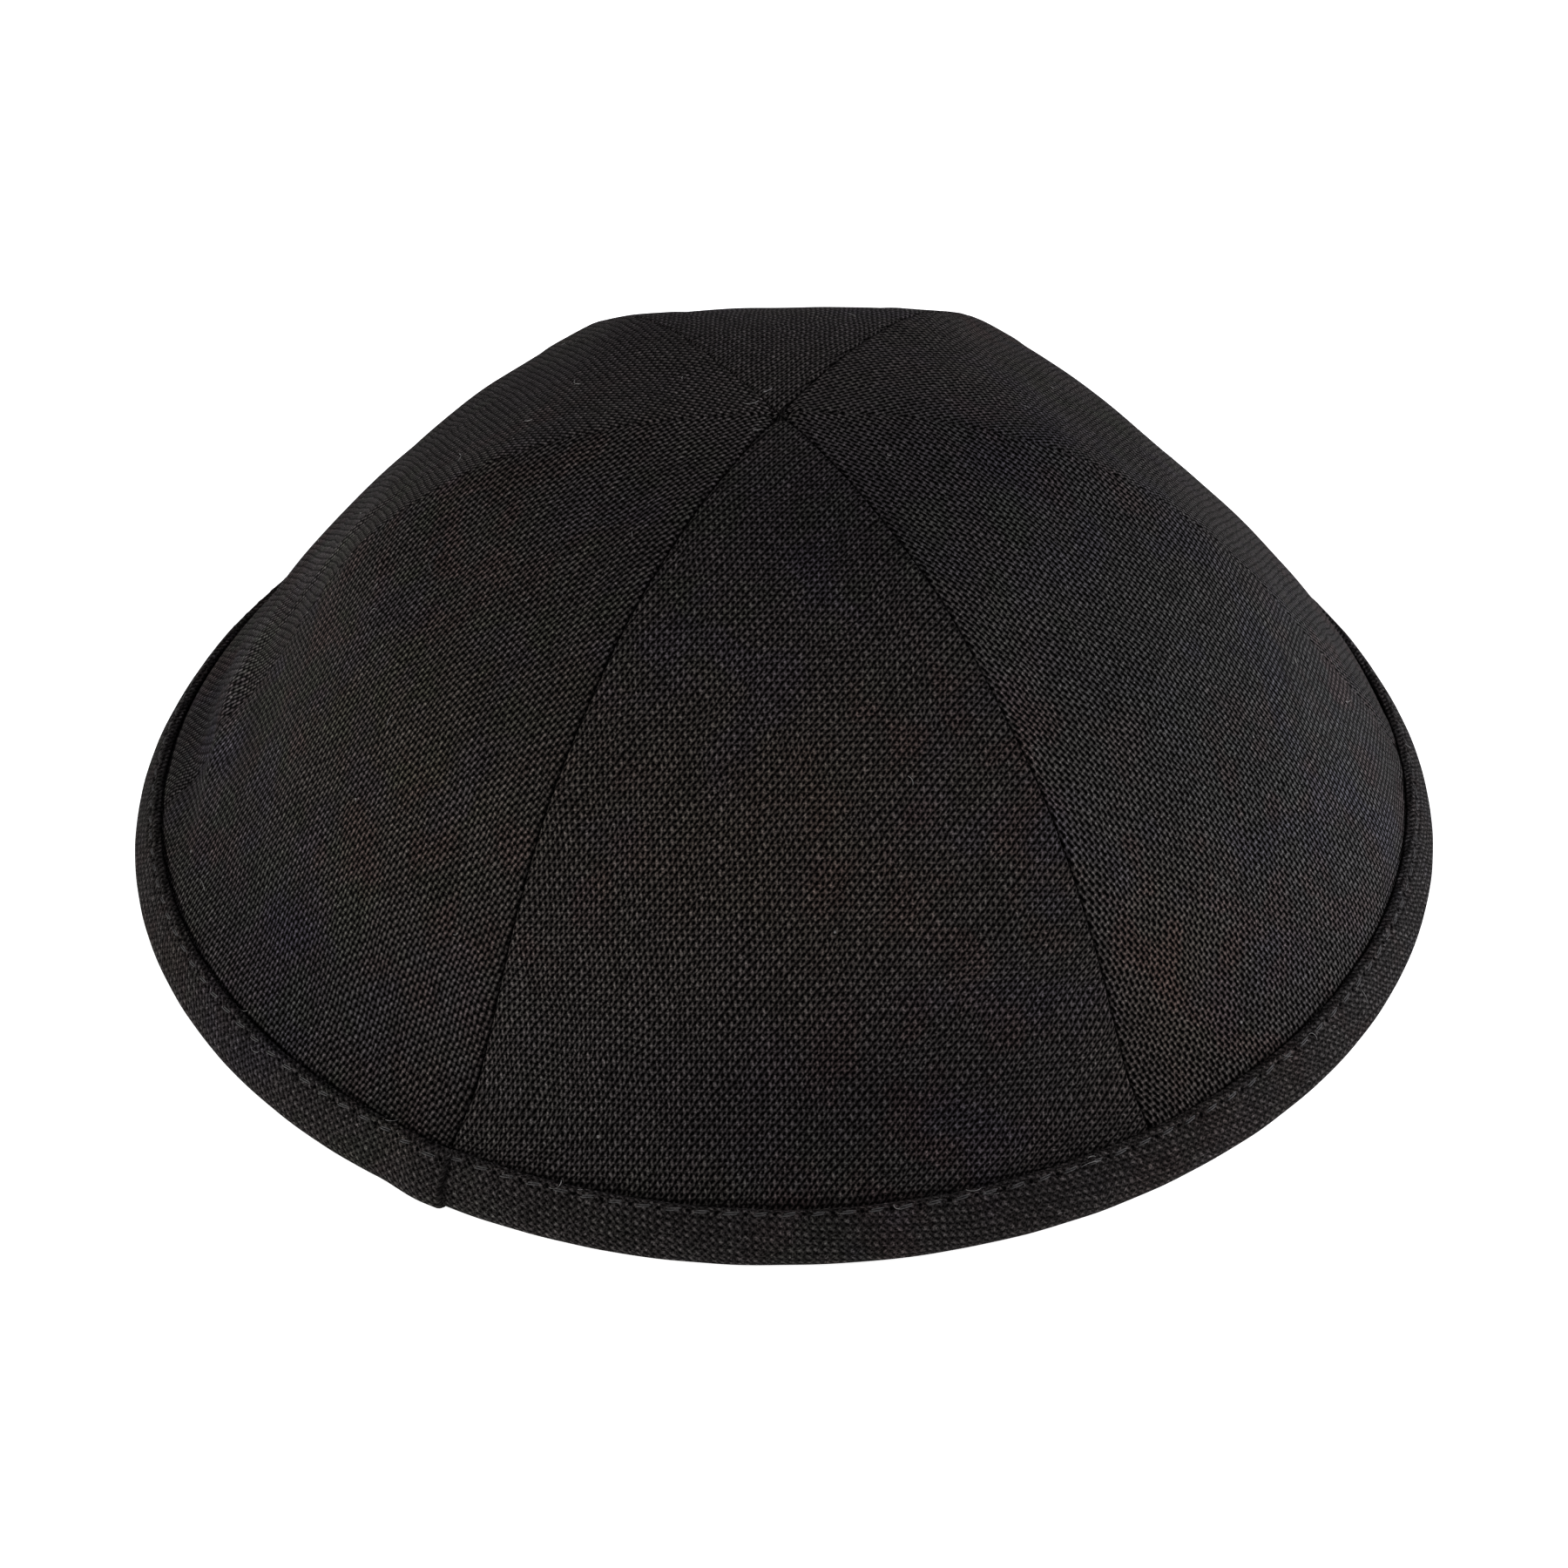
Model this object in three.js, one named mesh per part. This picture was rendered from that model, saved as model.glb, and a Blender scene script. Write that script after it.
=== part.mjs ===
import * as THREE from "three";
import { ParametricGeometry } from "three/addons/geometries/ParametricGeometry.js";
import { mergeGeometries, mergeVertices } from "three/addons/utils/BufferGeometryUtils.js";

// Soft skullcap of six sewn cloth panels, standing on its bound rim.
// Millimetres, +Z up, origin under the middle of the rim, front towards -Y.
// Azimuths are degrees anticlockwise from +X, seen from above.
// "out" is a distance from the cap's upright axis and "up" a height above the surface it stands on.

// Driving dimensions
const CLOTH = 1.5;
const EASE = 0.3;
const FULL_TURN = 360;
const PANEL_TURN = 60;
const FOLD_FADE_FROM = 7.5;
const FOLD_FADE_TO = 12;

// Fineness of the meshes
const PANEL_SLICES = 10;
const STACKS_PER_LEVEL = 2;
const RIM_STEPS = 60;

// Levels of the crown from its top down to its raw edge inside the binding.
// bow: how round the cloth lies between two seams, from 0 for a flat span to 1 for an arc.
// shoulder, foot, hem: share of each seam's own lean that this level takes.
// sway: share of each seam's own sideways drift that this level takes.
const LEVELS = [
  { out: 0.5, up: 59.4, bow: 0.0, shoulder: 0.0, foot: 0.0, hem: 0.0, sway: 0.0 },
  { out: 5.0, up: 60.0, bow: -0.2, shoulder: 0.2, foot: 0.0, hem: 0.0, sway: 0.1 },
  { out: 20.0, up: 58.5, bow: 0.0, shoulder: 0.6, foot: 0.0, hem: 0.0, sway: 0.5 },
  { out: 34.6, up: 54.4, bow: 0.15, shoulder: 0.9, foot: 0.0, hem: 0.0, sway: 0.8 },
  { out: 45.6, up: 48.5, bow: 0.35, shoulder: 1.0, foot: 0.2, hem: 0.0, sway: 1.0 },
  { out: 54.8, up: 41.5, bow: 0.6, shoulder: 0.8, foot: 0.6, hem: 0.0, sway: 1.0 },
  { out: 61.8, up: 33.5, bow: 0.75, shoulder: 0.4, foot: 0.9, hem: 0.3, sway: 0.9 },
  { out: 67.3, up: 25.5, bow: 0.95, shoulder: 0.1, foot: 1.0, hem: 0.6, sway: 0.8 },
  { out: 71.9, up: 18.0, bow: 1.05, shoulder: 0.0, foot: 0.7, hem: 1.0, sway: 0.6 },
  { out: 75.6, up: 11.5, bow: 1.1, shoulder: 0.0, foot: 0.3, hem: 1.0, sway: 0.3 },
  { out: 79.2, up: 6.5, bow: 1.0, shoulder: 0.0, foot: 0.0, hem: 0.0, sway: 0.0 },
  { out: 81.4, up: 1.9, bow: 1.0, shoulder: 0.0, foot: 0.0, hem: 0.0, sway: 0.0 },
];

// Seams of the soft crown. Each leans out of the common profile by its own millimetres, and drifts
// sideways by its own degrees.
const SEAMS = [
  { name: "right", azimuth: 0, shoulder: -2.0, foot: -1.9, hem: 1.1, sway: 0.0 },
  { name: "back_right", azimuth: 60, shoulder: 2.1, foot: 0.9, hem: -0.6, sway: 0.0 },
  { name: "back_left", azimuth: 120, shoulder: 1.0, foot: 1.6, hem: -0.4, sway: -3.5 },
  { name: "left", azimuth: 180, shoulder: -0.4, foot: -4.0, hem: 0.0, sway: 0.4 },
  { name: "front_left", azimuth: 240, shoulder: 0.6, foot: 0.6, hem: -1.4, sway: 1.0 },
  { name: "front_right", azimuth: 300, shoulder: -0.4, foot: 1.0, hem: -0.8, sway: -0.5 },
];

// Panels, each from one seam to the next one anticlockwise.
const PANELS = [
  { name: "panel_back_right", seam: 0 },
  { name: "panel_back", seam: 1 },
  { name: "panel_back_left", seam: 2 },
  { name: "panel_front_left", seam: 3 },
  { name: "panel_front", seam: 4 },
  { name: "panel_front_right", seam: 5 },
];

// Soft folds and dents of the crown. halfTurn is in degrees, halfHeight and rise in millimetres,
// and slant is how far the fold climbs with each degree of azimuth.
const FOLDS = [
  { name: "left sag ridge", azimuth: 170, up: 19, halfTurn: 17, halfHeight: 3.5, slant: -0.2, rise: 1.0 },
  { name: "left sag tuck", azimuth: 168, up: 12, halfTurn: 17, halfHeight: 4, slant: -0.1, rise: -1.2 },
  { name: "left seam foot dent", azimuth: 247, up: 19, halfTurn: 6, halfHeight: 8, slant: 0, rise: -0.7 },
  { name: "front dent", azimuth: 264, up: 19, halfTurn: 8, halfHeight: 7, slant: 0, rise: -0.7 },
];

// Section of the binding, closed round: down its outer leg, along the flat sole that the cap
// stands on, up the inner leg and round the raw edge of the crown that it holds.
// lap: share of the lap's rise that this line of the strip takes.
const BINDING = [
  { out: 79.6, up: 6.9, lap: 0.0 },
  { out: 80.3, up: 7.2, lap: 0.8 },
  { out: 81.6, up: 5.3, lap: 1.0 },
  { out: 82.6, up: 3.6, lap: 1.0 },
  { out: 83.0, up: 2.2, lap: 1.0 },
  { out: 82.7, up: 1.0, lap: 0.9 },
  { out: 82.0, up: 0.25, lap: 0.4 },
  { out: 81.2, up: 0.0, lap: 0.0 },
  { out: 79.2, up: 0.0, lap: 0.0 },
  { out: 78.6, up: 0.3, lap: 0.0 },
  { out: 78.2, up: 1.2, lap: 0.0 },
  { out: 76.2, up: 5.2, lap: 0.0 },
  { out: 76.4, up: 6.0, lap: 0.0 },
  { out: 77.2, up: 5.8, lap: 0.0 },
  { out: 79.7, up: 1.1, lap: 0.0 },
  { out: 81.8, up: 1.3, lap: 0.0 },
];

// Lap where the strip's folded end covers its start, at the foot of the left front seam.
const LAP = { rise: 0.9, from: 234, full: 239.5, edge: 240.6, to: 241.6 };

// Linen cloth of the crown and the bias-cut strip
const CROWN_CLOTH = { color: 0x262322, roughness: 0.9, metalness: 0.0 };
const BINDING_CLOTH = { color: 0x221f1e, roughness: 0.92, metalness: 0.0 };

const { degToRad, radToDeg, lerp, smoothstep } = THREE.MathUtils;

// Value of one column of the levels, smoothed from the crown's top at 0 to its raw edge at 1
function column(name) {
  const curve = new THREE.SplineCurve(LEVELS.map((level, row) => new THREE.Vector2(row, level[name])));
  return (t) => curve.getPoint(t).y;
}
const bowAt = column("bow");
const swayAt = column("sway");

// Profile of each seam in its own upright plane
const seamCurves = SEAMS.map((seam) => new THREE.SplineCurve(LEVELS.map((level) => new THREE.Vector2(
  level.out + level.shoulder * seam.shoulder + level.foot * seam.foot + level.hem * seam.hem,
  level.up,
))));

// Point of a seam's profile on the outer face, or a cloth's thickness further in
function seamPoint(seamIndex, t, inner) {
  const curve = seamCurves[seamIndex % SEAMS.length];
  const point = curve.getPoint(t);
  if (inner) {
    const tangent = curve.getTangent(t);
    point.x += tangent.y * CLOTH;
    point.y -= tangent.x * CLOTH;
  }
  return point;
}

// How far the folds and dents push the cloth out at a place
function foldRise(azimuth, up) {
  const clearOfBinding = smoothstep(up, FOLD_FADE_FROM, FOLD_FADE_TO);
  return clearOfBinding * FOLDS.reduce((total, fold) => {
    const turn = (azimuth - fold.azimuth) / fold.halfTurn;
    const height = (up - fold.up - fold.slant * (azimuth - fold.azimuth)) / fold.halfHeight;
    return total + fold.rise * Math.exp(-turn * turn - height * height);
  }, 0);
}

// Point of a panel: t runs from the crown's top to its raw edge, share from one seam to the next
function panelPoint(panel, t, share, inner, target) {
  const from = SEAMS[panel.seam];
  const to = SEAMS[(panel.seam + 1) % SEAMS.length];
  const first = seamPoint(panel.seam, t, inner);
  const second = seamPoint(panel.seam + 1, t, inner);
  const span = degToRad(PANEL_TURN + swayAt(t) * (to.sway - from.sway));
  const angle = lerp(Math.asin(EASE / 2 / first.x), span - Math.asin(EASE / 2 / second.x), share);
  const flat = first.x * second.x * Math.sin(span)
    / (first.x * Math.sin(angle) + second.x * Math.sin(span - angle));
  const round = lerp(first.x, second.x, smoothstep(angle / span, 0, 1));
  const azimuth = degToRad(from.azimuth + swayAt(t) * from.sway) + angle;
  const rise = foldRise(radToDeg(azimuth), seamPoint(panel.seam, t, false).y);
  const tangent = seamCurves[panel.seam].getTangent(t);
  const out = lerp(flat, round, bowAt(t)) - tangent.y * rise;
  const up = lerp(first.y, second.y, angle / span) + tangent.x * rise;
  return target.set(out * Math.cos(azimuth), out * Math.sin(azimuth), up);
}

// Place on the loop round a panel's cross-section: across the outer face and back on the inner one
function loopPlace(u) {
  const step = Math.round(u * (2 * PANEL_SLICES + 2)) % (2 * PANEL_SLICES + 2);
  const inner = step > PANEL_SLICES;
  const share = inner ? (2 * PANEL_SLICES + 1 - step) / PANEL_SLICES : step / PANEL_SLICES;
  return { inner, share };
}

// Joins surface patches that share their edges into one closed body
function closedBody(patches) {
  const joined = mergeGeometries(patches);
  joined.deleteAttribute("normal");
  joined.deleteAttribute("uv");
  return mergeVertices(joined);
}

// Strip that closes a panel at its tip or at its raw edge
function panelEnd(panel, t, turned) {
  const end = (u, v, target) => panelPoint(panel, t, u, turned ? v > 0 : v === 0, target);
  return new ParametricGeometry(end, PANEL_SLICES, 1);
}

function panelGeometry(panel) {
  const stacks = STACKS_PER_LEVEL * (LEVELS.length - 1);
  const wall = (u, v, target) => {
    const place = loopPlace(u);
    return panelPoint(panel, 1 - v, place.share, place.inner, target);
  };
  return closedBody([
    new ParametricGeometry(wall, 2 * PANEL_SLICES + 2, stacks),
    panelEnd(panel, 0, true),
    panelEnd(panel, 1, false),
  ]);
}

// How far the lapped end lifts the strip at an azimuth
function lapRise(azimuth) {
  return LAP.rise * smoothstep(azimuth, LAP.from, LAP.full) * (1 - smoothstep(azimuth, LAP.edge, LAP.to));
}

// Azimuths of the binding's cross-sections: even steps, and the lap's own lines between them
function rimAzimuths() {
  const even = Array.from({ length: RIM_STEPS }, (_, step) => FULL_TURN * step / RIM_STEPS);
  const lap = [LAP.full, LAP.edge, (LAP.edge + LAP.to) / 2, LAP.to];
  return [...new Set([...even, ...lap])].sort((a, b) => a - b);
}

function bindingGeometry() {
  const azimuths = rimAzimuths();
  const ring = (u, v, target) => {
    const line = BINDING[Math.round(u * BINDING.length) % BINDING.length];
    const azimuth = azimuths[Math.round(v * azimuths.length) % azimuths.length];
    const out = line.out + line.lap * lapRise(azimuth);
    const angle = degToRad(azimuth);
    return target.set(out * Math.cos(angle), out * Math.sin(angle), line.up);
  };
  return closedBody([new ParametricGeometry(ring, BINDING.length, azimuths.length)]);
}

function piece(name, geometry, cloth) {
  const mesh = new THREE.Mesh(geometry, new THREE.MeshStandardMaterial({ ...cloth, flatShading: true }));
  mesh.name = name;
  return mesh;
}

const skullcap = new THREE.Group();
skullcap.add(...PANELS.map((panel) => piece(panel.name, panelGeometry(panel), CROWN_CLOTH)));
skullcap.add(piece("rim_binding", bindingGeometry(), BINDING_CLOTH));

export default skullcap;
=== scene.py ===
"""Soft black skullcap: six sewn linen panels, a bias-cut rim binding, its stitching and a little lint.

Lengths are millimetres until a mesh is written. Azimuths are degrees anticlockwise from +X, seen from above.
"out" is a distance from the cap's upright axis and "up" a height above the floor.
"""

import logging
import math
import random
from collections.abc import Callable
from dataclasses import dataclass
from enum import Enum

import bmesh
import bpy
import numpy as np
from mathutils import Euler, Matrix, Vector, noise


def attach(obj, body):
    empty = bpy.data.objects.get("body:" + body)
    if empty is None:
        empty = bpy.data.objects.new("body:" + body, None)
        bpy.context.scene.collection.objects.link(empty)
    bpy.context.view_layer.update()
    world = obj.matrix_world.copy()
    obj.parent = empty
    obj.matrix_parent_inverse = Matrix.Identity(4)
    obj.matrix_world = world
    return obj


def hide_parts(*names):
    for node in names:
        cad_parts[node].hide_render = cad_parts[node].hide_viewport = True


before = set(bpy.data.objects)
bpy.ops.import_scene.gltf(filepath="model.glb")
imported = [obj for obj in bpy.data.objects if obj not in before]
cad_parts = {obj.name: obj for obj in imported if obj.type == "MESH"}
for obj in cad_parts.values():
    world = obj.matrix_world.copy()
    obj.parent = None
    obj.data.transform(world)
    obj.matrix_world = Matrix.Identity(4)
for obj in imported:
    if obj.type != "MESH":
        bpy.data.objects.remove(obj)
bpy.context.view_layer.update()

LOG = logging.getLogger("skullcap")
MM = 0.001
UV_MM = 100.0
CUT_MAP = "Cut"
# Mesh layer of painted shade in the seams' grooves and in the gap above the binding
SHADE_LAYER = "Depth"
ROOT = "root"
Place = tuple[float, float, float]
StrandShape = Callable[[float, float, float], Place]
Socket = bpy.types.NodeSocket
HALF = (0.5, 0.5, 0.5)
ZERO = (0.0, 0.0, 0.0)
WHITE = (1.0, 1.0, 1.0, 1.0)
TINY = 1e-12
POLE = 1e-4


@dataclass(frozen=True)
class Level:
    """One level of the crown's profile, with the share of each seam's own lean and drift that it takes."""

    out: float
    up: float
    bow: float
    shoulder: float
    foot: float
    hem: float
    sway: float
    stray: float = 0.0


@dataclass(frozen=True)
class Seam:
    """One seam of the crown: its azimuth, its leans out of the profile and its drifts in degrees.

    roll is the radius that its turned-in cloth makes, and line how dark the painted shade in its groove is,
    from 0 to 1.
    """

    azimuth: float
    shoulder: float
    foot: float
    hem: float
    sway: float
    roll: float
    line: float
    stray: float = 0.0


@dataclass(frozen=True)
class Fold:
    """A soft fold or dent. half_turn is in degrees, and slant is its climb for each degree of azimuth."""

    azimuth: float
    up: float
    half_turn: float
    half_height: float
    slant: float
    rise: float


@dataclass(frozen=True)
class Bump:
    """A round bump or dimple, by its middle and its reach in millimetres."""

    place: Place
    reach: float
    rise: float


@dataclass(frozen=True)
class Ridge:
    """A soft crease that runs down a panel beside one of its seams, between two heights."""

    panel: int
    seam: int
    across: float
    half: float
    rise: float
    low: float
    high: float


@dataclass(frozen=True)
class SectionPoint:
    """A point of the binding's closed section, its share of the lap's rise and the steps to the next one."""

    out: float
    up: float
    lap: float
    steps: int


# Crown profile, from the top to the raw edge inside the binding
LEVELS = (
    Level(out=0.15, up=59.3, bow=0.0, shoulder=0.0, foot=0.0, hem=0.0, sway=0.0),
    Level(out=5.0, up=60.0, bow=-0.2, shoulder=0.2, foot=0.0, hem=0.0, sway=0.1),
    Level(out=20.0, up=58.5, bow=0.0, shoulder=0.6, foot=0.0, hem=0.0, sway=0.5),
    Level(out=34.6, up=54.4, bow=0.15, shoulder=0.9, foot=0.0, hem=0.0, sway=0.8),
    Level(out=45.6, up=48.5, bow=0.35, shoulder=1.0, foot=0.2, hem=0.0, sway=1.0),
    Level(out=54.8, up=41.5, bow=0.6, shoulder=0.8, foot=0.6, hem=0.0, sway=1.0),
    Level(out=61.8, up=33.5, bow=0.75, shoulder=0.4, foot=0.9, hem=0.3, sway=0.9),
    Level(out=67.3, up=25.5, bow=0.95, shoulder=0.1, foot=1.0, hem=0.6, sway=0.8, stray=0.1),
    Level(out=71.9, up=18.0, bow=1.05, shoulder=0.0, foot=0.7, hem=1.0, sway=0.6, stray=0.4),
    Level(out=75.6, up=11.5, bow=1.1, shoulder=0.0, foot=0.3, hem=1.0, sway=0.3, stray=0.8),
    Level(out=79.2, up=6.5, bow=1.0, shoulder=0.0, foot=0.0, hem=0.0, sway=0.0, stray=1.0),
    Level(out=81.4, up=1.9, bow=1.0, shoulder=0.0, foot=0.0, hem=0.0, sway=0.0, stray=1.0),
)

# Seams, anticlockwise from the right side
SEAMS = (
    Seam(azimuth=0, shoulder=-2.0, foot=-1.9, hem=1.1, sway=0.0, roll=0.30, line=0.15),
    Seam(azimuth=60, shoulder=2.1, foot=0.9, hem=-0.6, sway=0.0, roll=0.50, line=0.75),
    Seam(azimuth=120, shoulder=1.0, foot=1.6, hem=-0.4, sway=-3.5, roll=0.34, line=0.14),
    Seam(azimuth=180, shoulder=-0.4, foot=-4.0, hem=0.0, sway=0.4, roll=0.30, line=0.15, stray=4.5),
    Seam(azimuth=240, shoulder=0.6, foot=0.6, hem=-1.4, sway=1.0, roll=0.50, line=0.85),
    Seam(azimuth=300, shoulder=-0.4, foot=1.0, hem=-0.8, sway=-0.5, roll=0.40, line=0.70),
)

# Panels, each with the seam of the same number as its first one
PANELS = (
    "panel_back_right",
    "panel_back",
    "panel_back_left",
    "panel_front_left",
    "panel_front",
    "panel_front_right",
)

# Sag fold on the left, and dents in the front beside its left seam
FOLDS = (
    Fold(azimuth=170, up=19, half_turn=17, half_height=3.5, slant=-0.2, rise=1.0),
    Fold(azimuth=168, up=12, half_turn=17, half_height=4, slant=-0.1, rise=-1.2),
    Fold(azimuth=179, up=18.6, half_turn=14, half_height=1.7, slant=-0.46, rise=0.6),
    Fold(azimuth=247, up=19, half_turn=6, half_height=8, slant=0, rise=-0.7),
    Fold(azimuth=264, up=19, half_turn=8, half_height=7, slant=0, rise=-0.7),
)

# Gathered cloth where the seams meet
BUMPS = (
    Bump(place=(2.5, 0.2, 60.0), reach=1.4, rise=0.45),
    Bump(place=(-1.6, -1.6, 60.0), reach=1.2, rise=-0.25),
)

# Crease behind the left seam
RIDGES = (
    Ridge(panel=2, seam=3, across=9.0, half=1.5, rise=0.5, low=24.0, high=46.0),
)

# Folded strip, from its lip down the outer side, round the foot and up inside the cap
BINDING_SECTION = (
    SectionPoint(out=79.6, up=6.7, lap=0.0, steps=3),
    SectionPoint(out=79.85, up=7.25, lap=0.5, steps=4),
    SectionPoint(out=80.5, up=7.1, lap=0.9, steps=7),
    SectionPoint(out=81.6, up=5.4, lap=1.0, steps=8),
    SectionPoint(out=82.6, up=3.6, lap=1.0, steps=5),
    SectionPoint(out=83.0, up=2.2, lap=1.0, steps=4),
    SectionPoint(out=82.75, up=1.0, lap=0.9, steps=3),
    SectionPoint(out=82.0, up=0.25, lap=0.4, steps=2),
    SectionPoint(out=81.2, up=0.0, lap=0.0, steps=2),
    SectionPoint(out=79.2, up=0.0, lap=0.0, steps=2),
    SectionPoint(out=78.6, up=0.3, lap=0.0, steps=2),
    SectionPoint(out=78.2, up=1.2, lap=0.0, steps=4),
    SectionPoint(out=76.2, up=5.2, lap=0.0, steps=2),
    SectionPoint(out=76.4, up=6.0, lap=0.0, steps=2),
    SectionPoint(out=77.2, up=5.8, lap=0.0, steps=3),
    SectionPoint(out=79.7, up=1.1, lap=0.0, steps=2),
    SectionPoint(out=81.6, up=1.3, lap=0.0, steps=4),
)


def smoothstep(value: np.ndarray, low: float, high: float) -> np.ndarray:
    """Rises smoothly from 0 at low to 1 at high.

    Args:
        value: The number or array to ease.
        low: Where the rise begins.
        high: Where the rise ends.

    Returns:
        The eased share, of value's own shape.
    """
    share = np.clip((value - low) / (high - low), 0.0, 1.0)
    return share * share * (3.0 - 2.0 * share)


def spline(points: np.ndarray, place: np.ndarray, closed: bool = False) -> np.ndarray:
    """Smooth curve through points, with even steps of its parameter from point to point.

    Args:
        points: The points or values, one row each.
        place: Where to read the curve, counted in points from the first one.
        closed: Whether the curve runs back to its first point.

    Returns:
        The curve's points, one row for each place.
    """
    count = len(points)
    last = count if closed else count - 1
    row = np.minimum(np.floor(place).astype(int), last - 1)
    share = (place - row)[:, None]
    near = [(row + k) % count if closed else np.clip(row + k, 0, last) for k in (-1, 0, 1, 2)]
    before, first, second, after = (points[index] for index in near)
    leave = (second - before) / 2
    arrive = (after - first) / 2
    cubic = (2 * first - 2 * second + leave + arrive) * share**3
    square = (-3 * first + 3 * second - 2 * leave - arrive) * share**2
    return cubic + square + leave * share + first


def bell(value: np.ndarray, half: float) -> np.ndarray:
    """A soft hump, 1 where value is 0 and nearly 0 at twice half."""
    return np.exp(-((value / half) ** 2))


def metres(place: Place) -> Place:
    """A place or size in metres, from one in millimetres."""
    return tuple(value * MM for value in place)


def unit(vectors: np.ndarray) -> np.ndarray:
    """The vectors at length 1, along their last axis."""
    return vectors / np.maximum(np.linalg.norm(vectors, axis=-1, keepdims=True), TINY)


def run_along(points: np.ndarray) -> np.ndarray:
    """Distance along a line of points, from 0 at its first one."""
    return np.concatenate([[0.0], np.cumsum(np.linalg.norm(np.diff(points, axis=0), axis=1))])


def ripple(points: np.ndarray, size: float, seed: float) -> np.ndarray:
    """Smooth noise in space, about -1 to 1.

    Args:
        points: Places in millimetres, along the last axis.
        size: Width of a bump in millimetres.
        seed: Shift that gives each use its own noise.

    Returns:
        The noise at each place.
    """
    flat = points.reshape(-1, 3) / size + seed
    return np.array([noise.noise(Vector(place)) for place in flat]).reshape(points.shape[:-1])


def grid_mesh(points: np.ndarray, cut: np.ndarray, depth: np.ndarray) -> bmesh.types.BMesh:
    """Bends a flat grid to points, with its cut pattern as a UV map and the painted shade of its grooves as a
    layer.

    Args:
        points: Rows of columns of places in millimetres.
        cut: The flat pattern's places in millimetres, in the same rows and columns.
        depth: How much painted shade each point takes where it lies in a groove, from 0 to 1.

    Returns:
        The sheet, with its faces turned away from the cap's middle.
    """
    rows, columns = points.shape[:2]
    bm = bmesh.new()
    bmesh.ops.create_grid(bm, x_segments=columns - 1, y_segments=rows - 1, size=1.0)
    cut_map = bm.loops.layers.uv.new(CUT_MAP)
    groove_shade = bm.verts.layers.float.new(SHADE_LAYER)
    places = {}
    for vertex in bm.verts:
        column = round((vertex.co.x + 1.0) / 2.0 * (columns - 1))
        row = round((vertex.co.y + 1.0) / 2.0 * (rows - 1))
        places[vertex] = (row, column)
    for vertex, (row, column) in places.items():
        vertex.co = Vector(points[row, column]) * MM
        vertex[groove_shade] = depth[row, column]
    for face in bm.faces:
        for loop in face.loops:
            loop[cut_map].uv = cut[places[loop.vert]] / UV_MM
    return bm


def add_strand(bm: bmesh.types.BMesh, sides: int, rings: int, shape: StrandShape) -> list[bmesh.types.BMVert]:
    """Adds a thin closed strand, drawn out from a small sphere.

    Args:
        bm: The mesh to add to.
        sides: Its sides.
        rings: Its rings from end to end.
        shape: Gives the place for a share along the strand and a direction across it.

    Returns:
        The strand's vertices.
    """
    verts = bmesh.ops.create_uvsphere(bm, u_segments=sides, v_segments=rings, radius=1.0)["verts"]
    for vertex in verts:
        share = 0.5 + math.asin(max(-1.0, min(1.0, vertex.co.z))) / math.pi
        reach = math.hypot(vertex.co.x, vertex.co.y)
        wide = 1.0 / reach if reach > POLE else 0.0
        vertex.co = shape(share, vertex.co.x * wide, vertex.co.y * wide)
    return verts


def strands_from(
    bm: bmesh.types.BMesh, name: str, material: bpy.types.Material
) -> bpy.types.Object:
    """Turns a mesh of strands in millimetres into a piece.

    Args:
        bm: The strands' mesh, freed here.
        name: The piece's name.
        material: Its finish.

    Returns:
        The new object.
    """
    bmesh.ops.scale(bm, vec=(MM, MM, MM), verts=bm.verts[:])
    bmesh.ops.recalc_face_normals(bm, faces=bm.faces[:])
    return piece_from(bm, name, material)


def piece_from(bm: bmesh.types.BMesh, name: str, material: bpy.types.Material) -> bpy.types.Object:
    """Turns a finished bmesh into a smooth piece that rides on the cap.

    Args:
        bm: The piece's mesh, in metres, freed here.
        name: The piece's name.
        material: Its finish.

    Returns:
        The new object.
    """
    mesh = bpy.data.meshes.new(name)
    bm.to_mesh(mesh)
    bm.free()
    mesh.polygons.foreach_set("use_smooth", [True] * len(mesh.polygons))
    mesh.materials.append(material)
    piece = bpy.data.objects.new(name, mesh)
    bpy.context.scene.collection.objects.link(piece)
    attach(piece, ROOT)
    LOG.info("%s: %d faces", name, len(mesh.polygons))
    return piece


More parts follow.
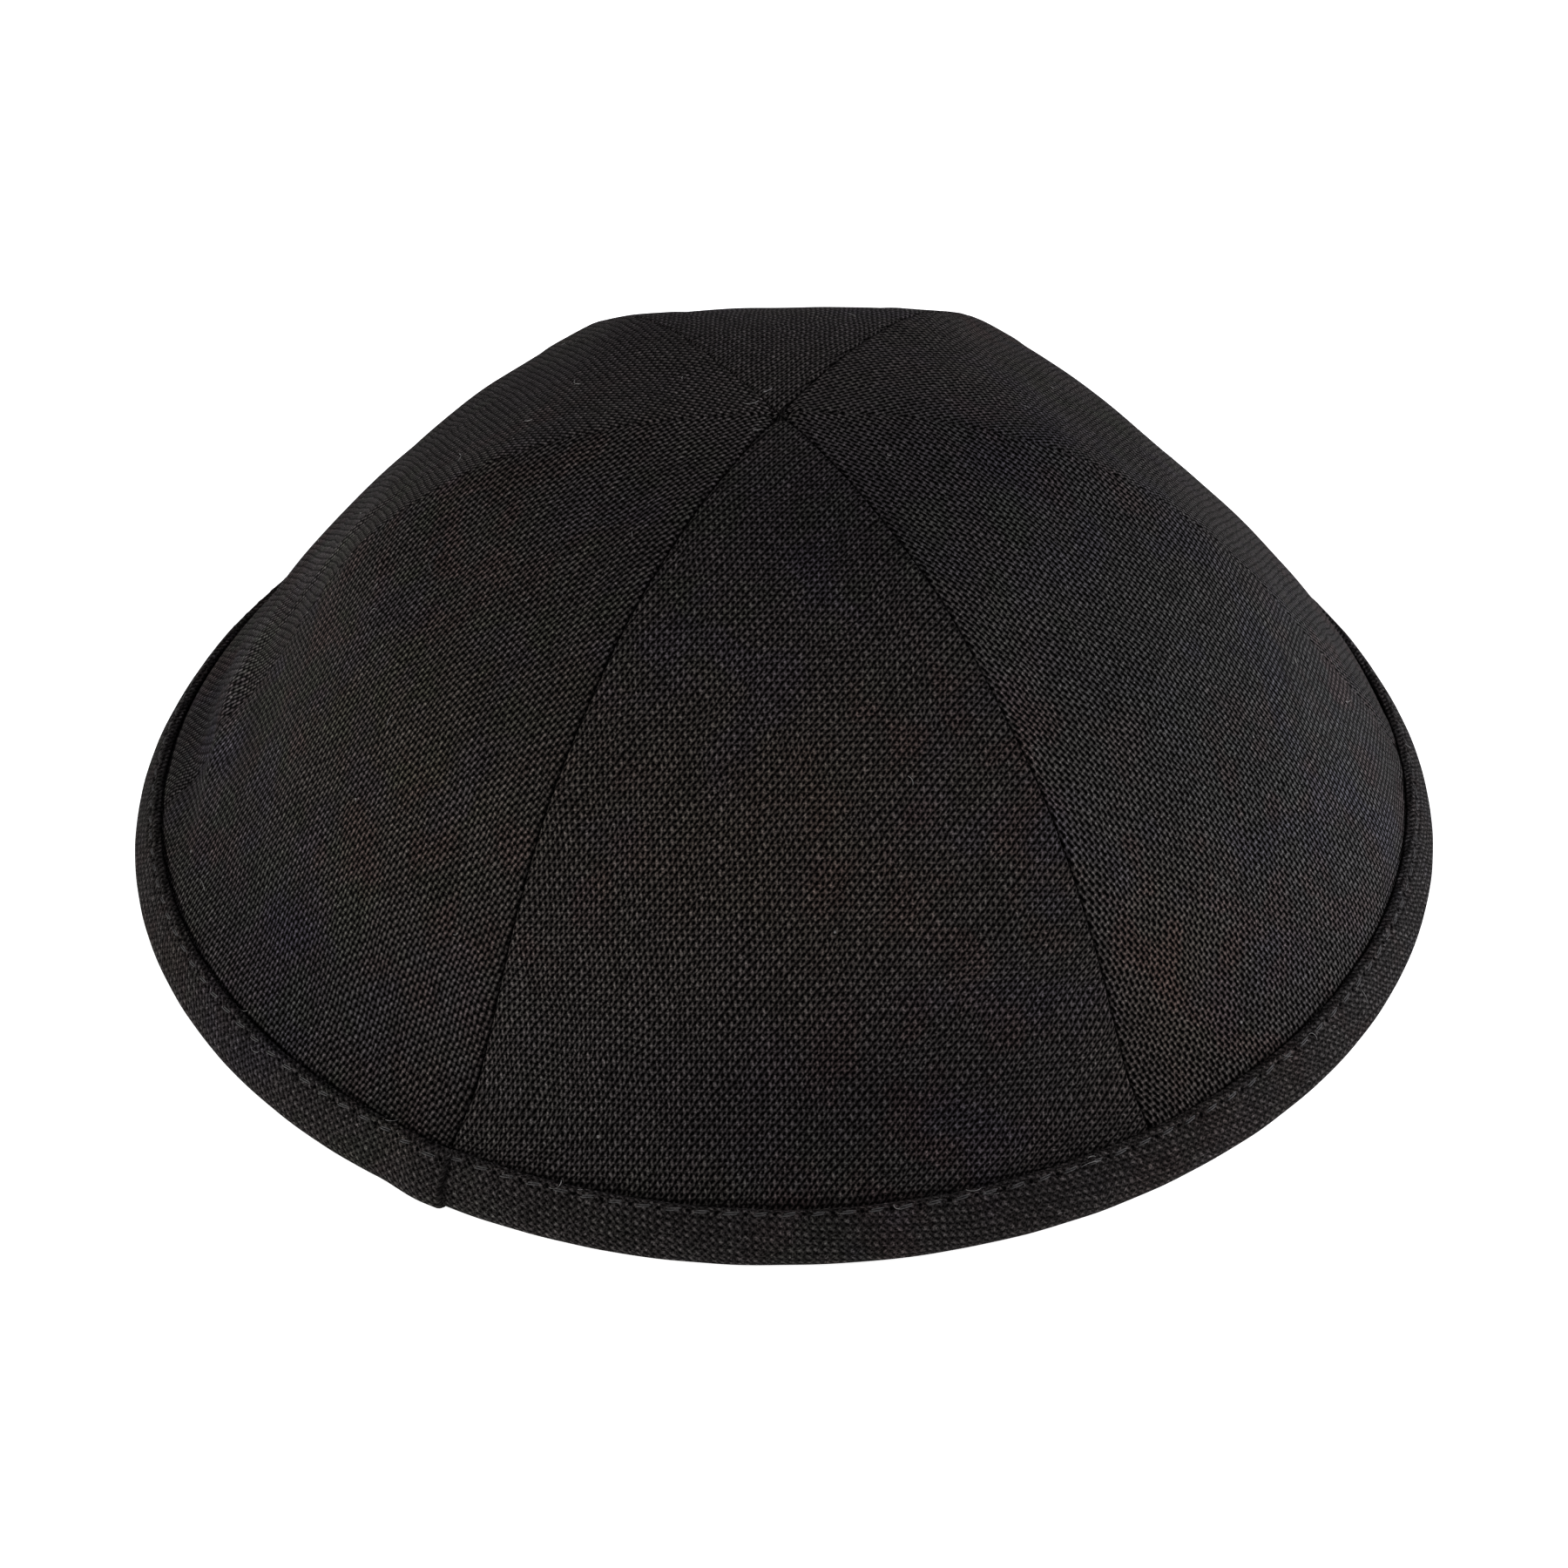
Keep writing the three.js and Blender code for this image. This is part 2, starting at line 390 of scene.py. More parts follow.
@dataclass
class Tree:
    """Adds nodes to one node tree, a material's or a group's, and wires them."""

    tree: bpy.types.NodeTree

    def add(self, kind: str, wires: dict | None = None, **settings: object) -> bpy.types.Node:
        """Adds a node.

        Args:
            kind: The node's type name without its ShaderNode part.
            wires: Values or sockets for its inputs, by name or number.
            settings: Its own settings, such as operation.

        Returns:
            The new node.
        """
        known = kind if kind.startswith("NodeGroup") else "ShaderNode" + kind
        node = self.tree.nodes.new(known)
        for setting, value in settings.items():
            setattr(node, setting, value)
        for name, value in (wires or {}).items():
            self.feed(node.inputs[name], value)
        return node

    def feed(self, socket: Socket, value: object) -> None:
        """Wires a socket to another one, or sets its own value.

        Args:
            socket: The input to feed.
            value: A socket to wire to it, or the value to set.
        """
        if isinstance(value, Socket):
            self.tree.links.new(value, socket)
        else:
            socket.default_value = value

    def math(self, operation: str, first: object, second: object = 0.0, third: object = 0.0) -> Socket:
        """Adds a Math node.

        Args:
            operation: Its operation.
            first: Its first value or socket.
            second: Its second value or socket.
            third: Its third value or socket.

        Returns:
            The node's output.
        """
        return self.add("Math", {0: first, 1: second, 2: third}, operation=operation).outputs[0]

    def vector(
        self, operation: str, first: object, second: object = ZERO, third: object = ZERO, scale: object = 1.0
    ) -> Socket:
        """Adds a Vector Math node.

        Args:
            operation: Its operation.
            first: Its first value or socket.
            second: Its second value or socket.
            third: Its third value or socket.
            scale: How much it scales the first one, where it does.

        Returns:
            The node's output, a number for a dot product.
        """
        wires = {0: first, 1: second, 2: third, 3: scale}
        node = self.add("VectorMath", wires, operation=operation)
        return node.outputs["Value" if operation == "DOT_PRODUCT" else "Vector"]

    def noise(self, place: object, scale: float, detail: float, result: str = "Fac") -> Socket:
        """Adds a Noise Texture.

        Args:
            place: The socket with its coordinates.
            scale: Its scale.
            detail: Its detail.
            result: The output that is wanted, Fac or Color.

        Returns:
            That output, about 0 to 1.
        """
        return self.add("TexNoise", {"Vector": place, "Scale": scale, "Detail": detail}).outputs[result]

    def ramp(self, value: object, low: float, high: float, bottom: float, top: float) -> Socket:
        """Adds a smooth Map Range.

        Args:
            value: The socket to map.
            low: The value that gives bottom.
            high: The value that gives top.
            bottom: The lowest result.
            top: The highest result.

        Returns:
            The mapped value.
        """
        wires = {"Value": value, "From Min": low, "From Max": high, "To Min": bottom, "To Max": top}
        return self.add("MapRange", wires, interpolation_type="SMOOTHSTEP").outputs[0]

    def blend(self, share: object, first: object, second: object) -> Socket:
        """Adds a colour mix.

        Args:
            share: How much of second is taken, from 0 to 1.
            first: The first colour.
            second: The second colour.

        Returns:
            The mixed colour.
        """
        node = self.add("Mix", data_type="RGBA")
        for index, value in ((0, share), (6, first), (7, second)):
            self.feed(node.inputs[index], value)
        return node.outputs[2]

    def place(self, group: bpy.types.NodeTree, wires: dict[str, object]) -> bpy.types.Node:
        """Places a node group.

        Args:
            group: The group to place.
            wires: Values or sockets for its inputs.

        Returns:
            The group node.
        """
        node = self.add("Group", node_tree=group)
        for name, value in wires.items():
            self.feed(node.inputs[name], value)
        return node


class Sock(Enum):
    """Kinds of group socket."""

    NUMBER = "NodeSocketFloat"
    PLACE = "NodeSocketVector"
    COLOUR = "NodeSocketColor"


def new_group(
    name: str, inputs: dict[str, Sock], outputs: dict[str, Sock]
) -> tuple[Tree, dict[str, Socket], bpy.types.Node]:
    """Starts a shader node group.

    Args:
        name: The group's name.
        inputs: Its inputs by name.
        outputs: Its outputs by name.

    Returns:
        Its tree, its input sockets by name and its output node.
    """
    group = bpy.data.node_groups.new(name, "ShaderNodeTree")
    for socket, kind in inputs.items():
        group.interface.new_socket(name=socket, in_out="INPUT", socket_type=kind.value)
    for socket, kind in outputs.items():
        group.interface.new_socket(name=socket, in_out="OUTPUT", socket_type=kind.value)
    tree = Tree(group)
    entry = tree.add("NodeGroupInput")
    return tree, {name: entry.outputs[name] for name in inputs}, tree.add("NodeGroupOutput")


def new_surface(name: str) -> tuple[bpy.types.Material, Tree]:
    """Starts a material with an empty tree.

    Args:
        name: The material's name.

    Returns:
        The material and its tree.
    """
    material = bpy.data.materials.new(name)
    material.use_nodes = True
    material.node_tree.nodes.clear()
    return material, Tree(material.node_tree)


@dataclass(frozen=True)
class Wave:
    """A regular part of the painted light and shade on a weave: half turns for each yarn, strength and shift
    in degrees.
    """

    across: int
    along: int
    strength: float
    shift: float = 0.0


# Painted light and shade on the weave, as each panel is seen to catch it: the light falling from one side
# onto the yarns and the shade in their gaps
FRONT_PAINTED_WAVES = (
    Wave(across=1, along=1, strength=0.33),
    Wave(across=1, along=-1, strength=0.33),
    Wave(across=2, along=0, strength=0.44, shift=50.0),
    Wave(across=0, along=2, strength=0.38),
    Wave(across=2, along=2, strength=0.52, shift=-165.0),
    Wave(across=3, along=1, strength=0.12, shift=50.0),
    Wave(across=3, along=-1, strength=0.12, shift=50.0),
)

LEFT_PAINTED_WAVES = (
    Wave(across=1, along=1, strength=0.36),
    Wave(across=1, along=-1, strength=0.20),
    Wave(across=2, along=0, strength=0.80, shift=-30.0),
    Wave(across=0, along=2, strength=0.60, shift=120.0),
    Wave(across=2, along=2, strength=0.12, shift=90.0),
)

RIGHT_PAINTED_WAVES = (
    Wave(across=1, along=1, strength=0.40),
    Wave(across=1, along=-1, strength=0.34),
    Wave(across=2, along=0, strength=0.80, shift=-175.0),
    Wave(across=0, along=2, strength=0.60, shift=35.0),
    Wave(across=2, along=2, strength=0.06, shift=-30.0),
)

BIAS_PAINTED_WAVES = (
    Wave(across=1, along=1, strength=0.26),
    Wave(across=1, along=-1, strength=0.32),
    Wave(across=2, along=0, strength=0.42, shift=20.0),
    Wave(across=0, along=2, strength=0.38, shift=60.0),
    Wave(across=2, along=-2, strength=0.14, shift=120.0),
)


@dataclass(frozen=True)
class Weave:
    """The look of a plain weave of uneven linen yarns, with painted light and shade on its yarns and in their
    gaps.

    Widths are in pitches of the yarns, and the scales of waver, wobble and speckle are per millimetre. Lanes
    are the noise that makes each yarn thicker and thinner along its length.
    """

    waves: tuple[Wave, ...] = FRONT_PAINTED_WAVES
    half_width: float = 0.37
    crimp: float = 0.50
    body: float = 0.90
    strength: float = 1.0
    falloff: float = 1.7
    lowest: float = 0.05
    cell: float = 0.20
    speckle_scale: float = 5.0
    speckle: float = 4.0
    slub_width: float = 0.20
    slub_light: float = 1.0
    waver_scale: float = 0.16
    wobble_scale: float = 0.9
    wobble: float = 0.30
    lane_step: float = 7.31
    lane_scale: float = 0.08
    lane_apart: float = 20.0

    def group(self) -> bpy.types.NodeTree:
        """Plain weave of uneven linen yarns, read from flat-pattern places in millimetres.

        Returns:
            A group that gives the cloth's height and the painted light and shade on its yarns.
        """
        inputs = {
            "Place": Sock.PLACE,
            "Warp Pitch": Sock.NUMBER,
            "Weft Pitch": Sock.NUMBER,
            "Waver": Sock.NUMBER,
        }
        tree, given, result = new_group("plain_weave_with_painted_light", inputs, {"Height": Sock.NUMBER, "Light": Sock.NUMBER})
        moved = given["Place"]
        for scale, strength in ((self.waver_scale, given["Waver"]), (self.wobble_scale, self.wobble)):
            shake = tree.vector("SUBTRACT", tree.noise(given["Place"], scale, 1.0, "Color"), HALF)
            moved = tree.vector("ADD", moved, tree.vector("SCALE", shake, scale=strength))
        split = tree.add("SeparateXYZ", {0: moved})
        across = tree.math("DIVIDE", split.outputs[0], given["Warp Pitch"])
        along = tree.math("DIVIDE", split.outputs[1], given["Weft Pitch"])
        column = tree.math("ROUND", across)
        row = tree.math("ROUND", along)
        aside = tree.math("SUBTRACT", across, column)
        down = tree.math("SUBTRACT", along, row)
        warp, warp_slub = self.yarn(tree, column, aside, along, 1.0)
        weft, weft_slub = self.yarn(tree, row, down, across, -1.0)
        over = tree.math("GREATER_THAN", warp, weft)
        top = tree.math("MAXIMUM", warp, weft)
        own = tree.add("Mix", {0: over, 2: weft_slub, 3: warp_slub}, data_type="FLOAT").outputs[0]
        # painted light and shade on the crossings, times the light of each yarn's slubs
        lit = tree.math("MULTIPLY", self.painted_shine(tree, across, along), own)
        light = tree.math("MULTIPLY", lit, self.mottle(tree, given["Place"], column, row))
        light = tree.math("MAXIMUM", light, 0.0)
        tree.feed(result.inputs["Height"], top)
        tree.feed(result.inputs["Light"], light)
        return tree.tree

    def mottle(self, tree: Tree, place: Socket, column: Socket, row: Socket) -> Socket:
        """Uneven light, from crossing to crossing and finer than a yarn.

        Args:
            tree: The weave's tree.
            place: Flat-pattern places in millimetres.
            column: The warp yarn's number.
            row: The weft yarn's number.

        Returns:
            The socket of the light, about 1 on average.
        """
        knot = tree.add("CombineXYZ", {0: column, 1: row}).outputs[0]
        chance = tree.add("TexWhiteNoise", {"Vector": knot}, noise_dimensions="2D").outputs["Value"]
        cell = tree.ramp(chance, 0.0, 1.0, 1.0 - self.cell, 1.0 + self.cell)
        grain = tree.math("SUBTRACT", tree.noise(place, self.speckle_scale, 1.0), 0.5)
        return tree.math("MULTIPLY", cell, tree.math("MULTIPLY_ADD", grain, self.speckle, 1.0))

    def painted_shine(self, tree: Tree, across: Socket, along: Socket) -> Socket:
        """Painted light and shade on the crossings, the sum of the weave's waves.

        Args:
            tree: The weave's tree.
            across: Place across, counted in warp yarns.
            along: Place along, counted in weft yarns.

        Returns:
            The socket of the painted light and shade, about 1 on average.
        """
        total = 1.0
        for wave in self.waves:
            turn = tree.math("MULTIPLY_ADD", across, math.pi * wave.across, math.radians(wave.shift))
            turn = tree.math("MULTIPLY_ADD", along, math.pi * wave.along, turn)
            total = tree.math("MULTIPLY_ADD", tree.math("COSINE", turn), wave.strength * self.strength, total)
        return tree.math("POWER", tree.math("MAXIMUM", total, self.lowest), self.falloff)

    def yarn(
        self, tree: Tree, number: Socket, off: Socket, along: Socket, sign: float
    ) -> tuple[Socket, Socket]:
        """Height of one set of yarns and the light of its slubs.

        Args:
            tree: The weave's tree.
            number: The yarn's number.
            off: Distance from its middle, in pitches.
            along: Place along it, counted in yarns of the other set.
            sign: 1 for the warp and -1 for the weft.

        Returns:
            The sockets of its height and its slubs' light.
        """
        turn = tree.math("COSINE", tree.math("MULTIPLY", number, math.pi))
        wave = tree.math("COSINE", tree.math("MULTIPLY", along, math.pi))
        rise = tree.math("MULTIPLY", tree.math("MULTIPLY", turn, wave), self.crimp * sign)
        step = tree.math("MULTIPLY", number, self.lane_step)
        down = tree.math("MULTIPLY", along, self.lane_scale)
        lane = tree.add("CombineXYZ", {0: step, 1: down, 2: sign * self.lane_apart})
        slub = tree.math("SUBTRACT", tree.noise(lane.outputs[0], 1.0, 3.0), 0.5)
        half = tree.math("MULTIPLY_ADD", slub, self.slub_width, self.half_width)
        side = tree.math("DIVIDE", off, half)
        inside = tree.math("MAXIMUM", tree.math("SUBTRACT", 1.0, tree.math("MULTIPLY", side, side)), 0.0)
        height = tree.math("MULTIPLY_ADD", tree.math("SQRT", inside), self.body, rise)
        return height, tree.math("MULTIPLY_ADD", slub, self.slub_light, 1.0)


@dataclass(frozen=True)
class Tint:
    """Patches of one tint.

    scale and spread are patches and groups of them per metre. low and edge say where a patch begins and how
    softly. most and least are how strong the patches are in a group and between groups.
    """

    name: str
    scale: float
    spread: float
    shift: float
    low: float
    most: float
    least: float
    edge: float = 0.17
    group_from: float = 0.38
    group_to: float = 0.62


TINTS = (
    Tint("Warm", scale=170.0, spread=26.0, shift=0.0, low=0.47, most=0.48, least=0.12),
    Tint("Cool", scale=150.0, spread=22.0, shift=0.31, low=0.47, most=0.50, least=0.20),
    Tint("Violet", scale=110.0, spread=18.0, shift=0.62, low=0.50, most=0.55, least=0.20),
)


def dye_group() -> bpy.types.NodeTree:
    """Uneven black dye: small patches that lean to brown, green or violet, from places in metres.

    Returns:
        A group that tints a colour.
    """
    inputs = {"Place": Sock.PLACE, **dict.fromkeys(("Colour", "Warm", "Cool", "Violet"), Sock.COLOUR)}
    tree, given, result = new_group("uneven_dye", inputs, {"Colour": Sock.COLOUR})
    colour = given["Colour"]
    for tint in TINTS:
        shift = (tint.shift, tint.shift, 0.0)
        place = tree.add("Mapping", {"Vector": given["Place"], "Location": shift}).outputs[0]
        patch = tree.ramp(tree.noise(place, tint.scale, 2.0), tint.low, tint.low + tint.edge, 0.0, tint.most)
        groups = tree.noise(place, tint.spread, 1.0)
        group = tree.ramp(groups, tint.group_from, tint.group_to, tint.least, 1.0)
        colour = tree.blend(tree.math("MULTIPLY", patch, group), colour, given[tint.name])
    tree.feed(result.inputs["Colour"], colour)
    return tree.tree


@dataclass(frozen=True)
class PaintedTone:
    """A broad area of the cloth that is paler or darker by painted light or painted shade, or tinted.

    It has its middle and reach in millimetres, and its shares of more red, green and blue light.
    """

    place: Place
    reach: Place
    share: Place


# Painted shade low on the front, near the top, on the back left and low on the left; a painted highlight
# along the crease behind the left seam and a painted sheen on the right edge; and a few warm and cool tints
PAINTED_TONES = (
    PaintedTone(place=(4.0, -76.0, 16.0), reach=(34.0, 20.0, 11.0), share=(-0.29, -0.30, -0.24)),
    PaintedTone(place=(3.0, -20.0, 57.0), reach=(17.0, 15.0, 12.0), share=(-0.28, -0.30, -0.22)),
    PaintedTone(place=(0.0, -60.0, 42.0), reach=(24.0, 24.0, 16.0), share=(0.12, 0.04, -0.05)),
    PaintedTone(place=(-45.0, -35.0, 38.0), reach=(22.0, 22.0, 16.0), share=(0.08, 0.04, -0.05)),
    PaintedTone(place=(-60.0, -42.0, 13.0), reach=(13.0, 16.0, 9.0), share=(-0.18, -0.18, -0.04)),
    PaintedTone(place=(-26.0, 28.0, 54.0), reach=(24.0, 22.0, 14.0), share=(-0.22, -0.24, -0.18)),
    PaintedTone(place=(-72.0, 6.0, 14.0), reach=(14.0, 26.0, 9.0), share=(-0.36, -0.34, -0.28)),
    PaintedTone(place=(-50.0, 27.0, 32.0), reach=(14.0, 12.0, 16.0), share=(-0.26, -0.26, -0.22)),
    PaintedTone(place=(-54.0, 11.0, 36.0), reach=(5.0, 4.0, 5.0), share=(0.44, 0.44, 0.50)),
    PaintedTone(place=(-59.5, 17.5, 28.0), reach=(5.0, 5.0, 3.6), share=(0.45, 0.45, 0.52)),
    PaintedTone(place=(-65.5, 11.0, 22.4), reach=(5.0, 5.0, 2.6), share=(0.55, 0.55, 0.62)),
    PaintedTone(place=(-68.0, 3.0, 20.4), reach=(5.0, 5.0, 2.4), share=(0.58, 0.58, 0.65)),
    PaintedTone(place=(-69.0, -6.0, 18.2), reach=(5.0, 5.0, 2.2), share=(0.48, 0.48, 0.54)),
    PaintedTone(place=(-71.0, -13.0, 14.8), reach=(5.0, 5.0, 2.2), share=(0.34, 0.34, 0.40)),
    PaintedTone(place=(72.0, -14.0, 24.0), reach=(13.0, 34.0, 24.0), share=(0.28, 0.38, 0.44)),
    PaintedTone(place=(50.0, -28.0, 42.0), reach=(26.0, 34.0, 36.0), share=(-0.05, 0.05, 0.06)),
    PaintedTone(place=(44.0, -61.0, 22.0), reach=(9.0, 14.0, 15.0), share=(0.16, 0.05, -0.06)),
    PaintedTone(place=(24.0, -4.0, 55.0), reach=(16.0, 12.0, 10.0), share=(-0.18, -0.18, -0.08)),
)


def painted_tone_group() -> bpy.types.NodeTree:
    """Broad painted light and painted shade, and some tints, from places in metres.

    Returns:
        A group that gives the red, green and blue share of painted light and shade at each place, about 1.
    """
    tree, given, result = new_group("cloth_painted_light_and_shade", {"Place": Sock.PLACE}, {"PaintedTone": Sock.PLACE})
    total = (1.0, 1.0, 1.0)
    for painted_tone in PAINTED_TONES:
        away = tree.vector("SUBTRACT", given["Place"], metres(painted_tone.place))
        turns = tree.vector("DIVIDE", away, metres(painted_tone.reach))
        square = tree.vector("DOT_PRODUCT", turns, turns)
        near = tree.math("EXPONENT", tree.math("MULTIPLY", square, -1.0))
        total = tree.vector("MULTIPLY_ADD", near, painted_tone.share, total)
    tree.feed(result.inputs["PaintedTone"], total)
    return tree.tree


@dataclass(frozen=True)
class LintSpecks:
    """Small scattered specks: cells per millimetre, the share of empty cells and the largest speck's size."""

    scale: float = 0.22
    empty: float = 0.45
    largest: float = 0.042

    def group(self) -> bpy.types.NodeTree:
        """Specks of lint, from flat-pattern places in millimetres.

        Returns:
            A group that gives 1 on a speck and 0 elsewhere.
        """
        tree, given, result = new_group("lint_specks", {"Place": Sock.PLACE}, {"Speck": Sock.NUMBER})
        cells = tree.add("TexVoronoi", {"Vector": given["Place"], "Scale": self.scale}, feature="F1")
        chosen = tree.add("SeparateColor", {0: cells.outputs["Color"]}).outputs[0]
        size = tree.ramp(chosen, self.empty, 1.0, 0.0, self.largest)
        tree.feed(result.inputs["Speck"], tree.math("LESS_THAN", cells.outputs["Distance"], size))
        return tree.tree


@dataclass(frozen=True)
class NeedleHoleShade:
    """A row of needle holes along a strip, darkened with painted shade, in millimetres on its flat pattern.
    """

    pitch: float
    line: float
    half_width: float = 0.24
    half_height: float = 0.26
    stray: float = 0.5
    dark_to: float = 0.35
    light_from: float = 1.7

    def group(self) -> bpy.types.NodeTree:
        """Painted shade in the holes where a thread dives, from flat-pattern places in millimetres.

        Returns:
            A group that gives 1 in a hole and 0 elsewhere.
        """
        tree, given, result = new_group("needle_hole_shade", {"Place": Sock.PLACE}, {"Hole": Sock.NUMBER})
        split = tree.add("SeparateXYZ", {0: given["Place"]})
        turns = tree.math("DIVIDE", split.outputs[0], self.pitch)
        number = tree.math("ROUND", turns)
        chance = tree.add("TexWhiteNoise", {"W": number}, noise_dimensions="1D")
        shift = tree.math("MULTIPLY", tree.math("SUBTRACT", chance.outputs["Value"], 0.5), self.stray)
        across = tree.math("MULTIPLY", tree.math("SUBTRACT", turns, number), self.pitch / self.half_width)
        line = tree.math("SUBTRACT", split.outputs[1], self.line)
        up = tree.math("ADD", tree.math("DIVIDE", line, self.half_height), shift)
        away = tree.math("ADD", tree.math("MULTIPLY", across, across), tree.math("MULTIPLY", up, up))
        tree.feed(result.inputs["Hole"], tree.ramp(away, self.dark_to, self.light_from, 1.0, 0.0))
        return tree.tree


@dataclass(frozen=True)
class ClothFinish:
    """A woven cloth: its dye, its weave in millimetres, how its yarns turn on the cut, its sheen, and the
    colour and strength of the painted shade in its grooves and needle holes.
    """

    name: str
    colour: Place
    warm: Place
    cool: Place
    violet: Place
    warp_pitch: float = 0.60
    weft_pitch: float = 0.74
    turn: float = 0.0
    waver: float = 1.0
    relief: float = 0.16
    roughness: float = 0.85
    specular: float = 0.006
    sheen: float = 0.008
    sheen_roughness: float = 0.30
    lint: Place = (0.15, 0.146, 0.142)
    # Painted shade: its colour, and how much of it the grooves take
    shade: Place = (0.0004, 0.0004, 0.0005)
    groove_shade: float = 0.96

    def material(
        self,
        weave: bpy.types.NodeTree,
        dye: bpy.types.NodeTree,
        painted_tone: bpy.types.NodeTree,
        lint: bpy.types.NodeTree,
        hole_shade: bpy.types.NodeTree | None = None,
    ) -> bpy.types.Material:
        """Builds the cloth's material.

        Args:
            weave: The plain weave group.
            dye: The uneven dye group.
            painted_tone: The group of painted light and painted shade over broad areas, with some tints.
            lint: The lint group.
            hole_shade: The group of painted shade in the needle holes, if the cloth has any.

        Returns:
            The material.
        """
        material, tree = new_surface(self.name)
        cut = tree.add("UVMap", uv_map=CUT_MAP).outputs[0]
        flat = {"Vector": cut, "Scale": (UV_MM, UV_MM, 1.0)}
        place = tree.add("Mapping", {**flat, "Rotation": (0.0, 0.0, math.radians(self.turn))}).outputs[0]
        space = tree.add("TexCoord").outputs["Object"]
        pitches = {"Warp Pitch": self.warp_pitch, "Weft Pitch": self.weft_pitch}
        woven = tree.place(weave, {"Place": place, "Waver": self.waver, **pitches})
        tints = {"Colour": self.colour, "Warm": self.warm, "Cool": self.cool, "Violet": self.violet}
        colours = {name: (*tint, 1.0) for name, tint in tints.items()}
        dyed = tree.place(dye, {"Place": space, **colours}).outputs[0]
        # painted light and painted shade over broad areas, with some tints
        lit_and_shaded = tree.place(painted_tone, {"Place": space}).outputs[0]
        yarns = tree.vector("SCALE", tree.vector("MULTIPLY", dyed, lit_and_shaded), scale=woven.outputs["Light"])
        speck = tree.place(lint, {"Place": place}).outputs[0]
        colour = tree.blend(speck, yarns, (*self.lint, 1.0))
        # painted shade in the seams' grooves, in the gap above the binding and in the needle holes
        depth = tree.add("Attribute", attribute_name=SHADE_LAYER).outputs["Fac"]
        painted_shade_share = tree.math("MULTIPLY", depth, self.groove_shade)
        if hole_shade:
            straight = tree.add("Mapping", flat).outputs[0]
            painted_shade_share = tree.math("MAXIMUM", painted_shade_share, tree.place(hole_shade, {"Place": straight}).outputs[0])
        colour = tree.blend(painted_shade_share, colour, (*self.shade, 1.0))
        bump = tree.add("Bump", {"Height": woven.outputs["Height"], "Distance": self.relief * MM})
        wires = {"Base Color": colour, "Roughness": self.roughness, "Normal": bump.outputs[0]}
        shader = tree.add("BsdfPrincipled", wires)
        shader.inputs["Sheen Weight"].default_value = self.sheen
        shader.inputs["Sheen Roughness"].default_value = self.sheen_roughness
        shader.inputs["Specular IOR Level"].default_value = self.specular
        tree.add("OutputMaterial", {"Surface": shader.outputs[0]})
        return material


@dataclass(frozen=True)
class ThreadFinish:
    """A fine strand, such as sewing thread or lint: its colour, its roughness and its sheen."""

    name: str
    colour: Place
    pale: Place
    grain: float
    roughness: float = 0.6
    sheen: float = 0.3
    relief: float = 0.05
    streak_from: float = 0.35
    streak_to: float = 0.7

    def material(self) -> bpy.types.Material:
        """Builds the strand's material.

        Returns:
            The material.
        """
        material, tree = new_surface(self.name)
        space = tree.add("TexCoord").outputs["Object"]
        streaks = tree.ramp(tree.noise(space, self.grain, 3.0), self.streak_from, self.streak_to, 0.0, 1.0)
        colour = tree.blend(streaks, (*self.colour, 1.0), (*self.pale, 1.0))
        bump = tree.add("Bump", {"Height": streaks, "Distance": self.relief * MM})
        wires = {"Base Color": colour, "Roughness": self.roughness, "Normal": bump.outputs[0]}
        shader = tree.add("BsdfPrincipled", wires)
        shader.inputs["Sheen Weight"].default_value = self.sheen
        tree.add("OutputMaterial", {"Surface": shader.outputs[0]})
        return material


